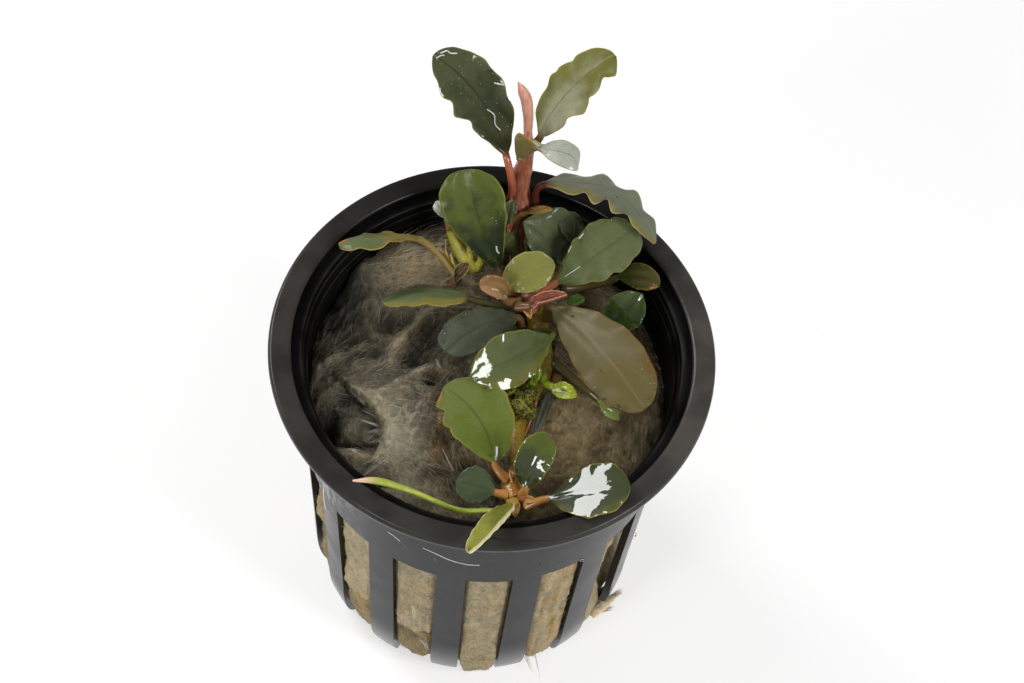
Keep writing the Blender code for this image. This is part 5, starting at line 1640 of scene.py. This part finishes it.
# Fine drops strewn over a leaf: from where to where along it, on which side, and how many.
FINE_DROPS = [("leaf_large_olive", 0.55, 0.92, 1, 34), ("back_leaf_dark", 0.15, 0.7, 1, 22),
              ("leaf_round", 0.1, 0.9, -1, 10), ("leaf_narrow_left", 0.1, 0.9, 1, 10),
              ("leaf_large_grey", 0.1, 0.9, -1, 10), ("leaf_slate", 0.1, 0.9, 1, 8)]
# Drops on the pot's wall: x, y, z and radius.
WALL_DROPS = [(14.2, -18.0, 31.8, 0.3), (21.7, -4.9, 15.7, 0.35), (24.4, -4.4, 38.9, 0.3),
              (8.9, -20.9, 35.5, 0.2), (17.0, -15.8, 38.4, 0.2)]
DROP_FLATNESS = 0.62

dice = np.random.default_rng(41)
for leaf, low, high, side, drops in FINE_DROPS:
    for _ in range(drops):
        DROPS.append((leaf, dice.uniform(low, high), side * dice.uniform(0.6, 0.96) ** 0.5,
                      dice.uniform(0.06, 0.17)))
sat = [on_leaf(leaf, along, across) for leaf, along, across, _ in DROPS]
radii = [drop[3] for drop in DROPS + WALL_DROPS]
for x, y, z, _ in WALL_DROPS:
    out = np.array((x, y, 0.0)) / math.hypot(x, y)
    sat.append((out * (wall_radius(z) + 0.02) + (0, 0, z), out))
places, ways = map(np.array, zip(*sat))
radii = np.array(radii)[:, None] * (1.0, 1.0, DROP_FLATNESS)
clear_water = water_finish("clear_water_drop", 0.0)
drop_tree = copies_tree("set_drops", clear_water, "GeometryNodeMeshIcoSphere",
                        {"Radius": MM, "Subdivisions": 2})
settle(set_copies("water_drops", drop_tree, places, ways, radii), "dark_leaf")
print("drops:", len(sat))

# %% Specks of water, painted white as glints
# Each patch of specks: the leaf, from where to where along it and across it, and how many.
SPECKS = [("back_leaf_dark", 0.2, 0.97, -0.4, 0.96, 60),
          ("leaf_large_olive", 0.7, 0.97, -0.97, -0.75, 14), ("leaf_round", 0.1, 0.6, 0.2, 0.9, 12)]
# How far a speck may lie from its place, so that they don't keep to the leaf's rows.
SPECK_STRAY = 0.3

# The milky film is painted partly white: painted glints on the leaves, dried water on the pot.
film_and_glint_water = water_finish("milky_water_film_and_painted_glints", 0.6)
specks = []
for leaf, low, high, left, right, number in SPECKS:
    specks += [on_leaf(leaf, dice.uniform(low, high), dice.uniform(left, right))
               for _ in range(number)]
places, ways = map(np.array, zip(*specks))
places = places + SPECK_STRAY * np.cross(ways, dice.uniform(-1, 1, places.shape))
sizes = dice.uniform(0.015, 0.07, (len(specks), 3)) * (1.0, 1.0, 0.5)
speck_tree = copies_tree("set_specks", film_and_glint_water, "GeometryNodeMeshIcoSphere",
                         {"Radius": MM, "Subdivisions": 1})
settle(set_copies("water_specks_painted_glints", speck_tree, places, ways, sizes), "dark_leaf")
print("specks:", len(specks))

# %% Streaks and seams of water
ON_WALL = -0.01
ON_INNER_WALL = WALL + 0.1


def wall_path(turns, heights, inside):
    """Points on the pot's wall, at angles in degrees from the front and at heights."""
    path = []
    for turn, z in zip(np.radians(turns), heights):
        radius = wall_radius(z) - inside
        path.append((radius * math.sin(turn), -radius * math.cos(turn), z))
    return path


# Streaks on leaves are milky film, painted white as painted highlights of the wet skin.
# Each streak: its leaf, its places along it and across it, and its radius.
STREAKS = [("back_leaf_dark", [(0.96, 0.5), (0.93, 0.7), (0.90, 0.62), (0.86, 0.7)], 0.09),
           ("back_leaf_dark", [(0.97, -0.1), (0.95, 0.2), (0.93, 0.4)], 0.08),
           ("back_leaf_dark", [(0.40, 0.05), (0.33, 0.08), (0.26, 0.05), (0.2, 0.1)], 0.07),
           ("back_leaf_dark", [(0.52, 0.75), (0.48, 0.86), (0.47, 0.95)], 0.10),
           ("back_leaf_dark", [(0.82, -0.96), (0.78, -0.97), (0.74, -0.96)], 0.14),
           ("leaf_large_grey", [(0.3, 0.05), (0.2, 0.04), (0.12, 0.06)], 0.045),
           ("leaf_large_grey", [(0.44, -0.93), (0.47, -0.92), (0.51, -0.94)], 0.07),
           ("leaf_large_grey", [(0.27, -0.93), (0.31, -0.92), (0.34, -0.94)], 0.06),
           ("leaf_round", [(0.24, 0.55), (0.2, 0.5), (0.17, 0.58)], 0.1),
           ("leaf_bright_front", [(0.16, 0.2), (0.08, 0.25), (0.03, 0.1)], 0.16)]
for i, (leaf, spots, size) in enumerate(STREAKS):
    points = [on_leaf(leaf, along, across)[0] for along, across in spots]
    grow_stem(f"water_streak_{i}", film_and_glint_water, "dark_leaf", points, [size] * len(points), nodes=())
FRONT_HEIGHTS = (41.4, 41.2, 41.3, 41.0, 41.2, 41.0, 41.1, 40.9, 41.0, 40.8, 40.9)
# Each seam: its name, its water, its points on the wall, and its radius.
SEAMS_OF_WATER = [
    ("front", clear_water, wall_path(range(-18, 46, 6), FRONT_HEIGHTS, ON_INNER_WALL), 0.12),
    ("left", clear_water,
     wall_path((-36, -31, -27, -23), (41.2, 41.3, 41.1, 41.2), ON_INNER_WALL), 0.22),
    ("collar", film_and_glint_water,
     wall_path((-13.5, -9, -5, 0, 4), (38.9, 38.3, 37.5, 37.0, 37.1), ON_WALL), 0.045),
    ("scratch", film_and_glint_water, wall_path((-25.2, -23, -21), (38.9, 38.7, 38.1), ON_WALL), 0.06),
    ("drip", film_and_glint_water, wall_path((-55.2, -55.8, -55.0), (33.0, 30.0, 27.4), ON_WALL), 0.09),
]
for name, water, points, size in SEAMS_OF_WATER:
    grow_stem("water_seam_" + name, water, "pot_plastic", points, [size] * len(points), nodes=())
LIP_SEAM = [(0.6, -26.4, 49.98), (2.8, -26.0, 49.96), (5.0, -26.2, 49.96), (7.2, -25.7, 49.95),
            (9.4, -25.6, 49.95), (11.2, -24.9, 49.93)]
grow_stem("water_seam_lip", clear_water, "pot_plastic", LIP_SEAM,
          [0.06, 0.1, 0.07, 0.1, 0.08, 0.05], nodes=())
print("streaks:", len(STREAKS), "seams:", len(SEAMS_OF_WATER) + 1)
